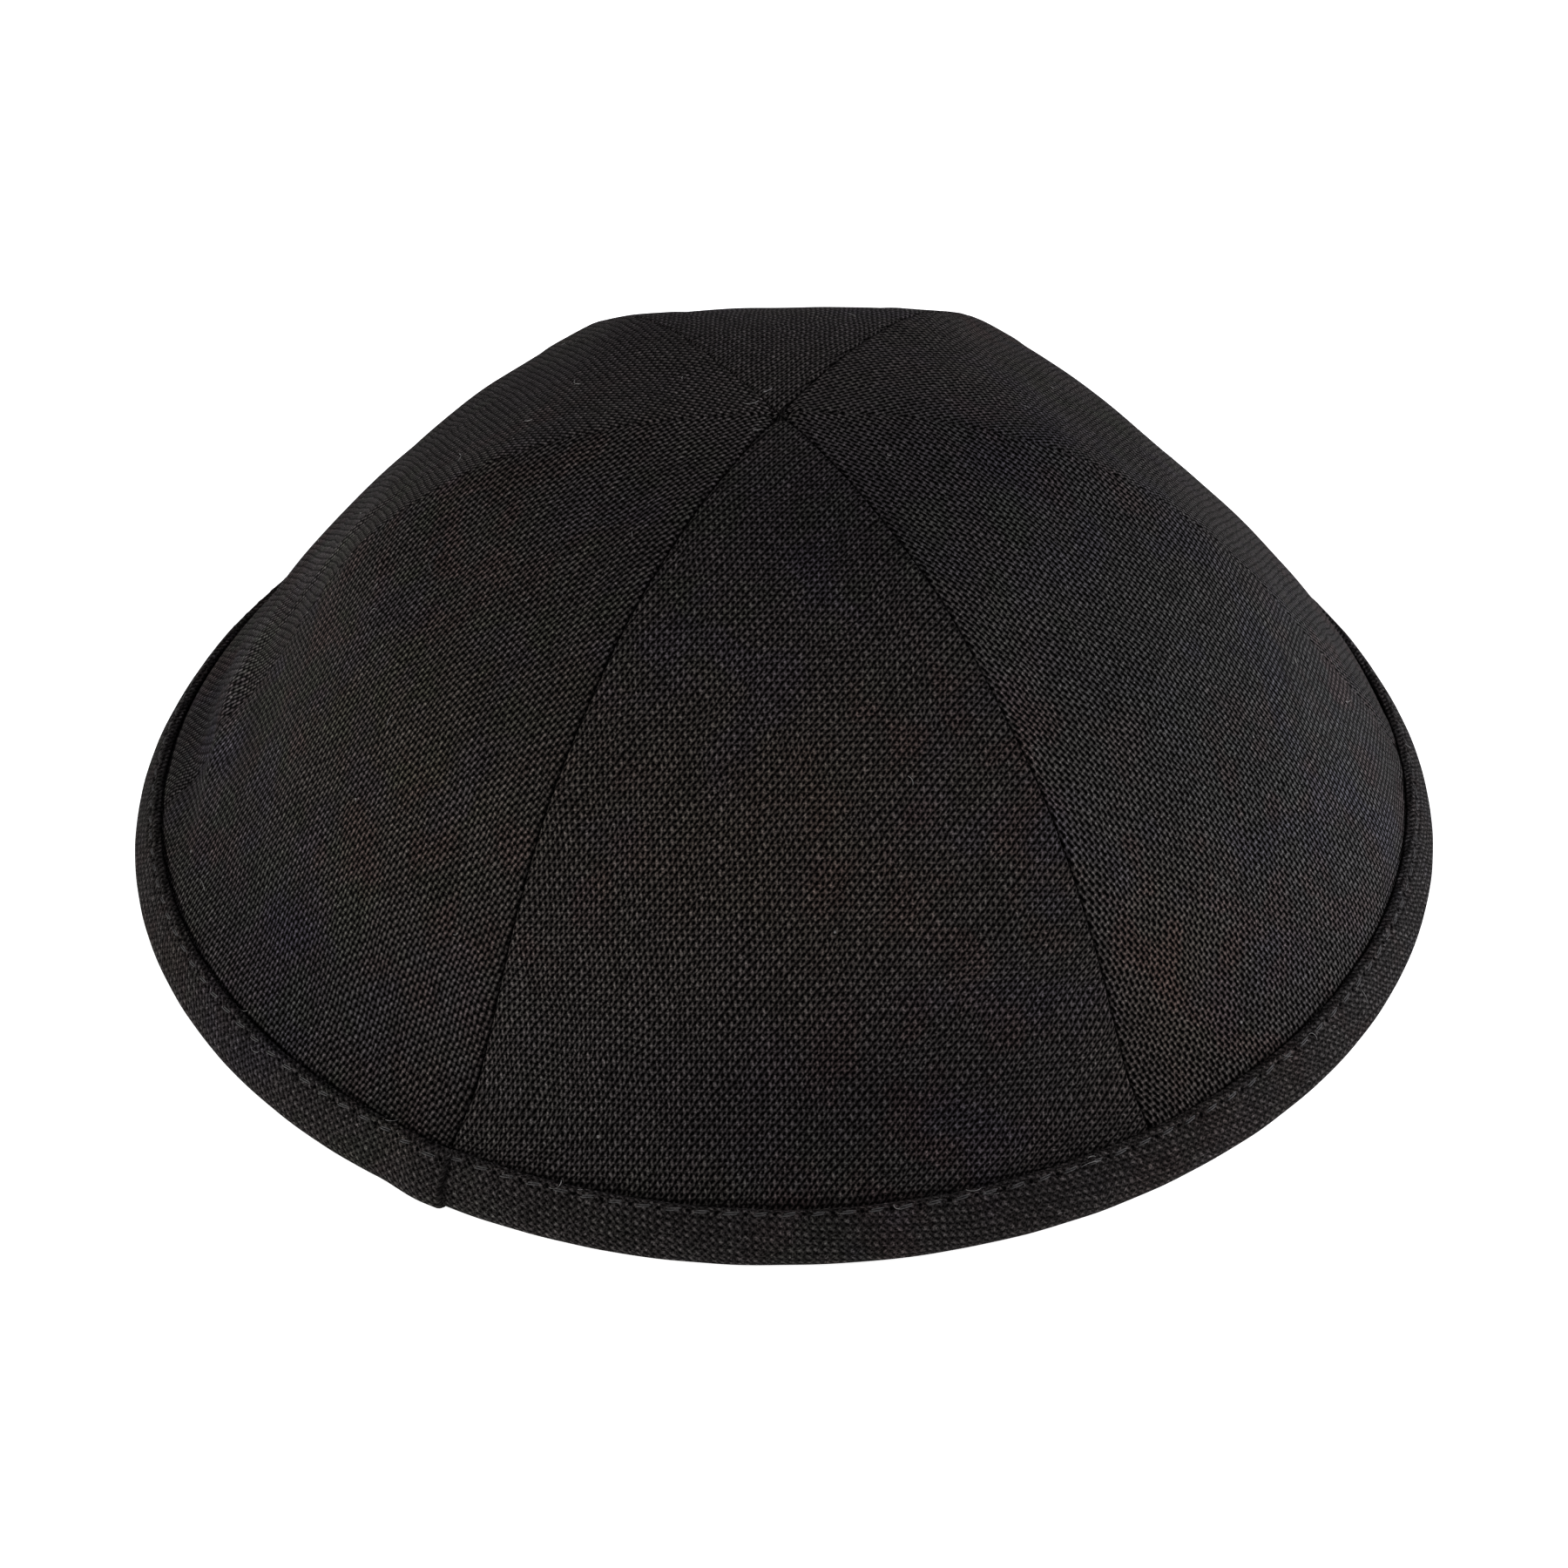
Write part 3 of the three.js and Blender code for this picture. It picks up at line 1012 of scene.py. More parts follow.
@dataclass
class CrownForm:
    """The crown's smooth outer surface between its seams. The folds fade in between two heights."""

    fade_from: float = 7.5
    fade_to: float = 12.0
    step: float = 1e-4

    def __post_init__(self) -> None:
        """Reads the level and seam tables into arrays."""
        self.last = len(LEVELS) - 1
        self.bow = np.array([[level.bow] for level in LEVELS])
        self.drifts = [np.array([[self._drift(level, seam)] for level in LEVELS]) for seam in SEAMS]
        self.profiles = [
            np.array([[self._lean(level, seam), level.up] for level in LEVELS]) for seam in SEAMS
        ]

    @staticmethod
    def _drift(level: Level, seam: Seam) -> float:
        """Turn of a seam off its azimuth at a level, in degrees."""
        return level.sway * seam.sway + level.stray * seam.stray

    @staticmethod
    def _lean(level: Level, seam: Seam) -> float:
        """Distance of a seam from the upright axis at a level."""
        return level.out + level.shoulder * seam.shoulder + level.foot * seam.foot + level.hem * seam.hem

    def near(self, t: np.ndarray) -> tuple[np.ndarray, np.ndarray]:
        """Levels a small step above and below levels t."""
        return np.clip(t - self.step, 0.0, 1.0), np.clip(t + self.step, 0.0, 1.0)

    def profile(self, seam: int, t: np.ndarray) -> np.ndarray:
        """A seam's out and up.

        Args:
            seam: The seam's number, counted round.
            t: Places from the top at 0 to the raw edge at 1.

        Returns:
            One row of out and up for each place.
        """
        return spline(self.profiles[seam % len(SEAMS)], t * self.last)

    def tangent(self, seam: int, t: np.ndarray) -> np.ndarray:
        """A seam's direction down its own profile, as out and up.

        Args:
            seam: The seam's number, counted round.
            t: Places from the top at 0 to the raw edge at 1.

        Returns:
            One unit row for each place.
        """
        low, high = self.near(t)
        return unit(self.profile(seam, high) - self.profile(seam, low))

    def edge_out(self, seam: int, t: np.ndarray) -> np.ndarray:
        """Outward directions along a seam.

        Args:
            seam: The seam's number, counted round.
            t: Places from the top at 0 to the raw edge at 1.

        Returns:
            One unit vector for each place.
        """
        azimuth = self.seam_azimuth(seam, t)
        lean, high = self.tangent(seam, t).T
        return np.stack([-high * np.cos(azimuth), -high * np.sin(azimuth), lean], axis=1)

    def seam_azimuth(self, seam: int, t: np.ndarray) -> np.ndarray:
        """A seam's azimuth.

        Args:
            seam: The seam's number, counted round and on past a whole turn.
            t: Places from the top at 0 to the raw edge at 1.

        Returns:
            The azimuth in radians at each place.
        """
        turns, number = divmod(seam, len(SEAMS))
        drift = spline(self.drifts[number], t * self.last)[:, 0]
        return np.radians(360.0 * turns + SEAMS[number].azimuth + drift)

    def span(self, panel: int, t: np.ndarray) -> np.ndarray:
        """The turn from a panel's first seam to its second one, in radians."""
        return self.seam_azimuth(panel + 1, t) - self.seam_azimuth(panel, t)

    def fold_rise(self, azimuth: np.ndarray, up: np.ndarray) -> np.ndarray:
        """How far the folds push the cloth out.

        Args:
            azimuth: Azimuths in degrees.
            up: Heights in millimetres.

        Returns:
            The push in millimetres.
        """
        total = np.zeros(np.broadcast(azimuth, up).shape)
        for fold in FOLDS:
            turn = (azimuth - fold.azimuth) / fold.half_turn
            height = (up - fold.up - fold.slant * (azimuth - fold.azimuth)) / fold.half_height
            total += fold.rise * np.exp(-turn * turn - height * height)
        return total * smoothstep(up, self.fade_from, self.fade_to)

    def points(self, panel: int, t: np.ndarray, angle: np.ndarray) -> np.ndarray:
        """Places on a panel.

        Args:
            panel: The panel's number, which is its first seam's too.
            t: Levels from the top at 0 to the raw edge at 1, one for each row.
            angle: Turns from the first seam in radians, by row and column.

        Returns:
            Places in millimetres, by row and column.
        """
        first = self.profile(panel, t)
        second = self.profile(panel + 1, t)
        tangent = self.tangent(panel, t)
        span = self.span(panel, t)[:, None]
        near, far = first[:, :1], second[:, :1]
        flat = near * far * np.sin(span) / (near * np.sin(angle) + far * np.sin(span - angle))
        share = angle / span
        arched = near + (far - near) * share * share * (3.0 - 2.0 * share)
        azimuth = self.seam_azimuth(panel, t)[:, None] + angle
        rise = self.fold_rise(np.degrees(azimuth), first[:, 1:])
        bow = spline(self.bow, t * self.last)
        out = flat + (arched - flat) * bow - tangent[:, 1:] * rise
        up = first[:, 1:] + (second[:, 1:] - first[:, 1:]) * share + tangent[:, :1] * rise
        return np.stack([out * np.cos(azimuth), out * np.sin(azimuth), up], axis=-1)

    def normals(self, panel: int, t: np.ndarray, angle: np.ndarray) -> np.ndarray:
        """Outward directions of a panel, by row and column.

        Args:
            panel: The panel's number.
            t: Levels, one for each row.
            angle: Turns from the first seam in radians, by row and column.

        Returns:
            Unit vectors.
        """
        low, high = self.near(t)
        down = self.points(panel, high, angle) - self.points(panel, low, angle)
        round_ = self.points(panel, t, angle + self.step) - self.points(panel, t, angle - self.step)
        return unit(np.cross(down, round_))


@dataclass
class Crown:
    """The six sewn panels of the crown, each turned in at its seams."""

    # Cloth and its turned-in edges
    cloth: float = 0.55
    allowance: float = 7.0
    ease: float = -0.03
    most_roll: float = 0.35
    most_turned: float = 0.8
    least_width: float = 0.02
    roll_spread: float = 6.0
    # Rows and columns
    row_step: float = 0.85
    fine_levels: int = 800
    allowance_steps: int = 6
    roll_steps: int = 9
    face_steps: int = 46
    closeness: float = 1.6
    # Relief: pressed bands, pinched seams, puckers, soft bumps and creases
    wide_from: float = 2.0
    wide_to: float = 14.0
    band: float = 0.16
    band_edge: float = 6.6
    band_half: float = 1.2
    pinch: float = 0.10
    pinch_half: float = 1.1
    pucker: float = 0.07
    pucker_reach: float = 3.5
    pucker_size: float = 3.4
    pucker_seed: float = 11.0
    soft: float = 0.35
    soft_sizes: tuple[float, float] = (19.0, 8.0)
    soft_seeds: tuple[float, float] = (3.0, 5.0)
    fine_share: float = 0.4
    clear_from: float = 6.5
    clear_to: float = 14.0
    crease_fade: float = 4.0
    # Painted shade in the lines of the seams and in the gap above the binding, with less where the gap is
    # shut on one side
    line_half: float = 0.20
    top_line_half: float = 0.22
    top_line_reach: float = 7.0
    foot_dark: float = 6.7
    foot_light: float = 7.3
    foot_deep: float = 0.56
    shut: float = 0.7
    shut_azimuth: float = -12.0
    shut_half: float = 34.0
    # Flat pattern
    bend_turn: float = 0.02
    least_curl: float = 1e-5

    def build(self, finishes: tuple[bpy.types.Material, ...], form: CrownForm) -> list[bpy.types.Object]:
        """Builds the panels.

        Args:
            finishes: The cloth's material on each panel, in the panels' order.
            form: The crown's surface.

        Returns:
            The panels.
        """
        dressed = zip(PANELS, finishes)
        return [self.panel(number, name, finish, form) for number, (name, finish) in enumerate(dressed)]

    def levels(self, form: CrownForm) -> np.ndarray:
        """Levels at even distances down the crown.

        Args:
            form: The crown's surface.

        Returns:
            Places from the top at 0 to the raw edge at 1.
        """
        fine = np.linspace(0.0, 1.0, self.fine_levels)
        run = run_along(form.profile(0, fine))
        count = int(run[-1] / self.row_step)
        return np.interp(np.linspace(0.0, run[-1], count), run, fine)

    def side(self, reach: np.ndarray, seam: Seam) -> tuple[np.ndarray, np.ndarray]:
        """Columns from a panel's turned-in raw edge round its roll to its middle.

        Args:
            reach: Half of the panel's width at each level.
            seam: The seam that the edge is sewn into.

        Returns:
            Distances from the seam and depths under the face, by row and column.
        """
        roll = np.minimum(seam.roll, self.most_roll * reach)[:, None]
        turned = np.clip(self.most_turned * reach[:, None] - roll, self.least_width, self.allowance)
        out = np.linspace(1.0, 0.0, self.allowance_steps, endpoint=False)[None, :]
        theta = np.linspace(math.pi, 0.0, self.roll_steps + 1)[None, :]
        share = (np.arange(1, self.face_steps + 1) / self.face_steps)[None, :] ** self.closeness
        across = [roll + turned * out, roll * (1.0 - np.sin(theta)), roll + (reach[:, None] - roll) * share]
        depth = [2.0 * roll + 0.0 * out, roll * (1.0 - np.cos(theta)), 0.0 * roll + 0.0 * share]
        return np.concatenate(across, axis=1), np.concatenate(depth, axis=1)

    def relief(self, points: np.ndarray, across: np.ndarray, reach: np.ndarray) -> np.ndarray:
        """How far the cloth lies off its smooth surface.

        Args:
            points: Places on the smooth surface.
            across: Distances from the nearest seam.
            reach: Half of the panel's width at each level.

        Returns:
            Heights in millimetres.
        """
        wide = smoothstep(reach, self.wide_from, self.wide_to)[:, None]
        edge, half = self.band_edge, self.band_half
        band = self.band * (1.0 - smoothstep(across, edge - half, edge + half))
        pinch = self.pinch * bell(across, self.pinch_half)
        gather = ripple(points, self.pucker_size, self.pucker_seed)
        pucker = self.pucker * np.exp(-across / self.pucker_reach) * gather
        broad, fine = (ripple(points, size, seed) for size, seed in zip(self.soft_sizes, self.soft_seeds))
        soft = self.soft * (broad + self.fine_share * fine)
        clear = smoothstep(points[..., 2], self.clear_from, self.clear_to)
        bumps = np.zeros(across.shape)
        for bump in BUMPS:
            away = np.linalg.norm(points - np.array(bump.place), axis=-1)
            bumps += bump.rise * bell(away, bump.reach)
        return wide * (band - pinch + pucker) + soft * wide * clear + bumps

    def creases(self, points: np.ndarray, across: np.ndarray, panel: int, seam: int) -> np.ndarray:
        """Heights of the creases beside a seam.

        Args:
            points: Places on the smooth surface.
            across: Distances from the seam.
            panel: The panel's number.
            seam: The seam's number.

        Returns:
            Heights in millimetres.
        """
        total = np.zeros(across.shape)
        for ridge in RIDGES:
            if (ridge.panel, ridge.seam) != (panel, seam):
                continue
            up, fade = points[..., 2], self.crease_fade
            reach = smoothstep(up, ridge.low - fade, ridge.low + fade)
            reach = reach * (1.0 - smoothstep(up, ridge.high - 2.0 * fade, ridge.high + fade))
            total += ridge.rise * bell(across - ridge.across, ridge.half) * reach
        return total

    def painted_groove_shade(self, points: np.ndarray, across: np.ndarray, seam: Seam) -> np.ndarray:
        """How much painted shade places take in a seam or in the gap above the binding.

        Args:
            points: Places on the smooth surface.
            across: Distances from the nearest seam.
            seam: That seam.

        Returns:
            Shares from 0 to 1.
        """
        reach = np.linalg.norm(points[..., :2], axis=-1)
        half = self.line_half + self.top_line_half * bell(reach, self.top_line_reach) * seam.line**4
        line = seam.line * bell(across, half)
        azimuth = np.degrees(np.arctan2(points[..., 1], points[..., 0]))
        shut = 1.0 - self.shut * bell(azimuth - self.shut_azimuth, self.shut_half)
        foot = self.foot_deep * shut * (1.0 - smoothstep(points[..., 2], self.foot_dark, self.foot_light))
        return np.maximum(line, foot)

    def flat_pattern(
        self, form: CrownForm, panel: int, t: np.ndarray, points: np.ndarray, middle: int
    ) -> np.ndarray:
        """Lays the panel flat, as it was cut, with the warp along its middle.

        Args:
            form: The crown's surface.
            panel: The panel's number.
            t: Levels, one for each row.
            points: The panel's places, by row and column.
            middle: The middle column.

        Returns:
            Flat places, by row and column.
        """
        steps = np.linalg.norm(np.diff(points, axis=1), axis=2)
        run = np.concatenate([np.zeros((len(t), 1)), np.cumsum(steps, axis=1)], axis=1)
        run = run - run[:, middle:middle + 1]
        length = run_along(points[:, middle])[:, None]
        angle = form.span(panel, t)[:, None] / 2 + np.array([[-self.bend_turn, 0.0, self.bend_turn]])
        near = form.points(panel, t, angle)
        arc = np.linalg.norm(near[:, 2] - near[:, 0], axis=1)[:, None] / 2
        bend = (near[:, 0] - 2 * near[:, 1] + near[:, 2]) / arc**2
        slope = unit(np.gradient(near[:, 1], axis=0))
        curl = np.sum(bend * slope, axis=1)[:, None]
        curl = np.where(np.abs(curl) < self.least_curl, self.least_curl, curl)
        return np.stack([np.sin(curl * run) / curl, length + (1.0 - np.cos(curl * run)) / curl], axis=-1)

    def half(
        self, form: CrownForm, number: int, t: np.ndarray, turned: bool
    ) -> tuple[np.ndarray, np.ndarray]:
        """Shapes half of a panel, from the raw edge at a seam to the panel's middle.

        Args:
            form: The crown's surface.
            number: The panel's number.
            t: Levels, one for each row.
            turned: Whether it is the half at the panel's second seam.

        Returns:
            Places in millimetres and their painted shade in a groove, by row and column.
        """
        seam = number + 1 if turned else number
        sewn = SEAMS[seam % len(SEAMS)]
        span = form.span(number, t)
        radius = form.profile(seam, t)[:, 0]
        reach = radius * np.sin(span / 2)
        across, depth = self.side(reach - self.ease, sewn)
        eased = across + self.ease
        angle = np.arcsin(np.clip(eased / radius[:, None], -1.0, 1.0))
        angle = span[:, None] - angle if turned else angle
        base = form.points(number, t, angle)
        normal = form.normals(number, t, angle)
        share = smoothstep(across, 0.0, self.roll_spread * sewn.roll)[..., None]
        inward = unit(form.edge_out(seam, t)[:, None, :] * (1.0 - share) + normal * share)
        rise = self.relief(base, across, reach) + self.creases(base, across, number, seam % len(SEAMS))
        # painted shade on the turned-in cloth deep in the seam's roll
        hidden = np.clip(depth / sewn.roll, 0.0, 1.0) * sewn.line
        points = base + normal * rise[..., None] - inward * depth[..., None]
        return points, np.maximum(self.painted_groove_shade(base, eased, sewn), hidden)

    def panel(self, number: int, name: str, finish: bpy.types.Material, form: CrownForm) -> bpy.types.Object:
        """Builds one panel with its turned-in allowances.

        Args:
            number: The panel's number.
            name: Its node's name.
            finish: The cloth's material.
            form: The crown's surface.

        Returns:
            The panel.
        """
        t = self.levels(form)
        first, second = (self.half(form, number, t, turned) for turned in (False, True))
        sides = zip(first, second)
        points, shade_in_grooves = (np.concatenate([near, far[:, -2::-1]], axis=1) for near, far in sides)
        cut = self.flat_pattern(form, number, t, points, first[0].shape[1] - 1)
        bm = grid_mesh(points, cut, shade_in_grooves)
        bm.normal_update()
        if sum(face.calc_area() * face.normal.z for face in bm.faces) < 0.0:
            bmesh.ops.reverse_faces(bm, faces=bm.faces[:])
        area = sum(face.calc_area() for face in bm.faces)
        piece = piece_from(bm, "cloth_" + name, finish)
        wall = piece.modifiers.new("cloth", "SOLIDIFY")
        wall.thickness = self.cloth * MM
        wall.offset = -1.0
        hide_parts(name)
        return piece


@dataclass
class Binding:
    """The bias-cut strip folded round the lower edge, with its lapped end and its topstitching."""

    # Strip and its stitch line
    middle: float = 81.0
    steps_per_stitch: int = 8
    stitches: int = 156
    stitch_line: float = 1.95
    stitch_dent: float = 0.30
    stitch_half: float = 0.50
    hole_half: float = 0.55
    between_holes: float = 0.6
    # Lapped end and its folded nose
    lap_rise: float = 0.9
    lap_from: float = 234.0
    lap_full: float = 239.2
    lap_edge: float = 240.6
    overlap: float = 0.04
    nose: float = 0.32
    nose_steps: int = 7
    nose_turn: float = 0.47
    nose_tuck: float = 0.01
    nose_bluntness: float = 1.6
    closing_step: float = 0.3
    weld: float = 1e-7
    # Soft swells and a wavy lip
    soft: float = 0.16
    outer_run: float = 9.5
    wave_size: float = 5.5
    wave_seed: float = 21.0
    slow_size: float = 26.0
    slow_seed: float = 7.0
    wave_share: float = 0.5
    lip_half: float = 1.2
    lip_wave: float = 0.16
    lip_swell: float = 0.6
    # Places where the lip dips or leans in, and the painted shade in the gap behind it
    dip: float = 0.7
    dip_out: float = 0.5
    dip_azimuth: float = 268.0
    dip_half: float = 24.0
    lean: float = 0.36
    lean_azimuths: tuple[float, float] = (176.0, -8.0)
    lean_half: float = 38.0
    gap_shade: float = 0.36
    gap_reach: float = 0.16

    def pitch(self) -> float:
        """Length of a stitch with its gap, in millimetres on the flat pattern."""
        return 2.0 * math.pi * self.middle / self.stitches

    def section(self) -> tuple[np.ndarray, np.ndarray, np.ndarray]:
        """The folded strip's closed section.

        Returns:
            Out and up of each point, its share of the lap's rise, and its distance from the lip.
        """
        steps = [index + np.arange(point.steps) / point.steps for index, point in enumerate(BINDING_SECTION)]
        table = np.array([[point.out, point.up, point.lap] for point in BINDING_SECTION])
        values = spline(table, np.concatenate(steps), closed=True)
        return values[:, :2], np.clip(values[:, 2], 0.0, 1.0), run_along(values[:, :2])

    def lap(self, azimuth: np.ndarray) -> np.ndarray:
        """Rise of the strip's end over its start.

        Args:
            azimuth: Azimuths in degrees that run on past a whole turn.

        Returns:
            The rise in millimetres at each one.
        """
        end = self.lap_edge + 360.0
        ramp = smoothstep(azimuth, self.lap_from + 360.0, self.lap_full + 360.0)
        left = np.clip((end - azimuth) / self.nose, 0.0, 1.0)
        return self.lap_rise * ramp * np.sqrt(1.0 - (1.0 - left) ** 2)

    @staticmethod
    def beside(azimuth: np.ndarray, middle: float, half: float) -> np.ndarray:
        """A smooth share, 1 at the middle azimuth, as one column."""
        return bell((azimuth[:, None] - middle + 180.0) % 360.0 - 180.0, half)

    def shape(self, azimuth: np.ndarray) -> tuple[np.ndarray, np.ndarray]:
        """The strip's surface at azimuths that run on past a whole turn.

        Args:
            azimuth: Azimuths in degrees.

        Returns:
            Places by azimuth and section point, and flat-pattern places.
        """
        outline, share, run = self.section()
        tangent = unit(np.roll(outline, -1, axis=0) - np.roll(outline, 1, axis=0))
        outward = np.stack([-tangent[:, 1], tangent[:, 0]], axis=1)
        outward = outward * np.sign(outward[len(outline) // 4, 0])
        turn = np.radians(azimuth)[:, None]
        ring = np.concatenate([np.cos(turn) * self.middle, np.sin(turn) * self.middle, 0.0 * turn], axis=1)
        wave = ripple(ring, self.wave_size, self.wave_seed)[:, None]
        slow = ripple(ring, self.slow_size, self.slow_seed)[:, None]
        waves = self.wave_share * wave + slow
        turns = azimuth * self.stitches / 360.0
        apart = (turns - np.round(turns)) * self.pitch()
        hole = self.between_holes + (1.0 - self.between_holes) * bell(apart, self.hole_half)[:, None]
        outer = (run < self.outer_run)[None, :] * share[None, :]
        line = bell(run - self.stitch_line, self.stitch_half)[None, :]
        lip = bell(run, self.lip_half)[None, :]
        swell = self.soft * waves * outer - self.stitch_dent * line * hole
        swell = swell + self.lip_wave * lip * wave * self.lip_swell
        out = outline[None, :, 0] + outward[None, :, 0] * swell + share[None, :] * self.lap(azimuth)[:, None]
        up = outline[None, :, 1] + outward[None, :, 1] * swell + self.lip_wave * lip * waves
        dip = self.dip * self.beside(azimuth, self.dip_azimuth, self.dip_half) * lip
        sides = sum(self.beside(azimuth, side, self.lean_half) for side in self.lean_azimuths)
        out, up = out + dip * self.dip_out - self.lean * sides * lip, up - dip
        points = np.stack([out * np.cos(turn), out * np.sin(turn), up + 0.0 * turn], axis=-1)
        flat = np.stack([turn * self.middle + 0.0 * run[None, :], run[None, :] + 0.0 * turn], axis=-1)
        return points, flat

    def blunt(self, points: np.ndarray, azimuth: np.ndarray, first: int, held: float) -> None:
        """Rounds the lapped end over, so that only its raised outer side reaches the tip.

        Args:
            points: The strip's places by azimuth and section point, changed here.
            azimuth: Azimuths in degrees, the tucked-in closing row's last.
            first: The row where the rounding begins.
            held: Its azimuth.
        """
        share = self.section()[1]
        tip = len(azimuth) - 2
        for row in range(first, len(azimuth)):
            asked = azimuth[min(row, tip)]
            own = held + (asked - held) * np.minimum(share * self.nose_bluntness, 1.0)
            own = np.radians(own if row <= tip else np.full_like(own, held + self.nose_tuck))
            source = points[min(row, tip)]
            radius = np.hypot(source[:, 0], source[:, 1])
            points[row] = np.stack([radius * np.cos(own), radius * np.sin(own), source[:, 2]], axis=1)

    def build(self, finish: bpy.types.Material) -> bpy.types.Object:
        """Builds the strip.

        Args:
            finish: The binding cloth's material.

        Returns:
            The strip.
        """
        held = self.lap_edge + 360.0 - self.nose
        count = self.stitches * self.steps_per_stitch
        body = np.linspace(held - 360.0 + self.overlap, held, count)
        bends = np.linspace(0.0, self.nose_turn * math.pi, self.nose_steps)[1:]
        azimuth = np.concatenate([body, held + self.nose * np.sin(bends), [held + self.nose_tuck]])
        points, flat = self.shape(azimuth)
        self.blunt(points, azimuth, count, held)
        length = self.section()[2]
        wrapped = np.concatenate([points, points[:, :1]], axis=1)
        closing = flat[:, -1:] + np.array([0.0, self.closing_step])
        # painted shade in the gap behind the lip, at both ends of the closed section
        shade_in_grooves = self.gap_shade * np.exp(-np.minimum(length, length[-1] - length) / self.gap_reach)
        shade_in_grooves = np.tile(np.append(shade_in_grooves, self.gap_shade), (len(azimuth), 1))
        bm = grid_mesh(wrapped, np.concatenate([flat, closing], axis=1), shade_in_grooves)
        bmesh.ops.remove_doubles(bm, verts=bm.verts[:], dist=self.weld)
        rims = [edge for edge in bm.edges if edge.is_boundary]
        bmesh.ops.holes_fill(bm, edges=rims, sides=0)
        bmesh.ops.recalc_face_normals(bm, faces=bm.faces[:])
        piece = piece_from(bm, "cloth_rim_binding", finish)
        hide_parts("rim_binding")
        return piece

    def frames(self, azimuths: list[float], runs: list[float]) -> list[tuple[Vector, Vector, Vector]]:
        """Places on the strip's outer side.

        Args:
            azimuths: Azimuths in degrees, past a whole turn on the lapped end.
            runs: Distances from the lip along the section, one for each azimuth.

        Returns:
            For each one, the place in millimetres, the way ahead round the rim and the way out of the cloth.
        """
        points = self.shape(np.array(azimuths))[0]
        length = self.section()[2]
        found = []
        for row, azimuth, run in zip(points, azimuths, runs):
            after = int(np.searchsorted(length, run))
            share = (run - length[after - 1]) / (length[after] - length[after - 1])
            place = Vector(row[after - 1] * (1 - share) + row[after] * share)
            down = Vector(row[after + 1] - row[after - 2]).normalized()
            ahead = Vector((-math.sin(math.radians(azimuth)), math.cos(math.radians(azimuth)), 0.0))
            found.append((place, ahead, down.cross(ahead).normalized()))
        return found


@dataclass
class Topstitch:
    """The lockstitches that hold the binding, each a short thread sunk in the cloth."""

    radius: float = 0.08
    apart: float = 0.12
    twist: float = 1.1
    sides: int = 5
    rings: int = 7
    gap: float = 0.75
    sink: float = 0.34
    lift: float = 0.02
    skew: float = 7.0
    skew_spread: float = 4.0
    shortest: float = 0.90
    circle: float = 81.2
    taper: float = 0.35
    seed: int = 5

    def ply(self, bm: bmesh.types.BMesh, length: float, start: float) -> list[bmesh.types.BMVert]:
        """Adds one of a stitch's two plies along X, bent down at both ends.

        Args:
            bm: The mesh to add to.
            length: The stitch's length in millimetres.
            start: Where round the thread the ply starts, in radians.

        Returns:
            The ply's vertices.
        """
        def bend(share: float, side: float, high: float) -> Place:
            """Bends the ply.

            Args:
                share: Place along it, from 0 to 1.
                side: Direction across it, to its side.
                high: Direction across it, upwards.

            Returns:
                The point's place.
            """
            place = 2.0 * share - 1.0
            turn = start + self.twist * place
            taper = 1.0 - self.taper * place**4
            aside = self.radius * side * taper + self.apart * math.cos(turn) * taper
            rise = self.radius * high * taper + 0.5 * self.apart * math.sin(turn)
            return place * length / 2.0, aside, rise - self.sink * abs(place) ** 3 + self.lift

        return add_strand(bm, self.sides, self.rings, bend)

    def build(self, binding: Binding, finish: bpy.types.Material) -> bpy.types.Object:
        """Lays the stitches round the binding.

        Args:
            binding: The binding that they hold.
            finish: The thread's material.

        Returns:
            The stitches as one piece.
        """
        chance = random.Random(self.seed)
        bm = bmesh.new()
        pitch = 360.0 / binding.stitches
        length = 2.0 * math.pi * self.circle / binding.stitches - self.gap
        first = math.ceil(binding.lap_edge / pitch)
        azimuths = [(number + 0.5) * pitch for number in range(first, first + binding.stitches)]
        for place, ahead, away in binding.frames(azimuths, [binding.stitch_line] * len(azimuths)):
            aside = away.cross(ahead).normalized()
            turned = Matrix((ahead, aside, away)).transposed().to_4x4()
            skew = self.skew + chance.uniform(-self.skew_spread, self.skew_spread)
            own = length * chance.uniform(self.shortest, 1.0)
            verts = [vertex for start in (0.0, math.pi) for vertex in self.ply(bm, own, start)]
            turned = turned @ Matrix.Rotation(math.radians(skew), 4, "Z")
            bmesh.ops.transform(bm, matrix=Matrix.Translation(place) @ turned, verts=verts)
        return strands_from(bm, "rim_topstitch", finish)


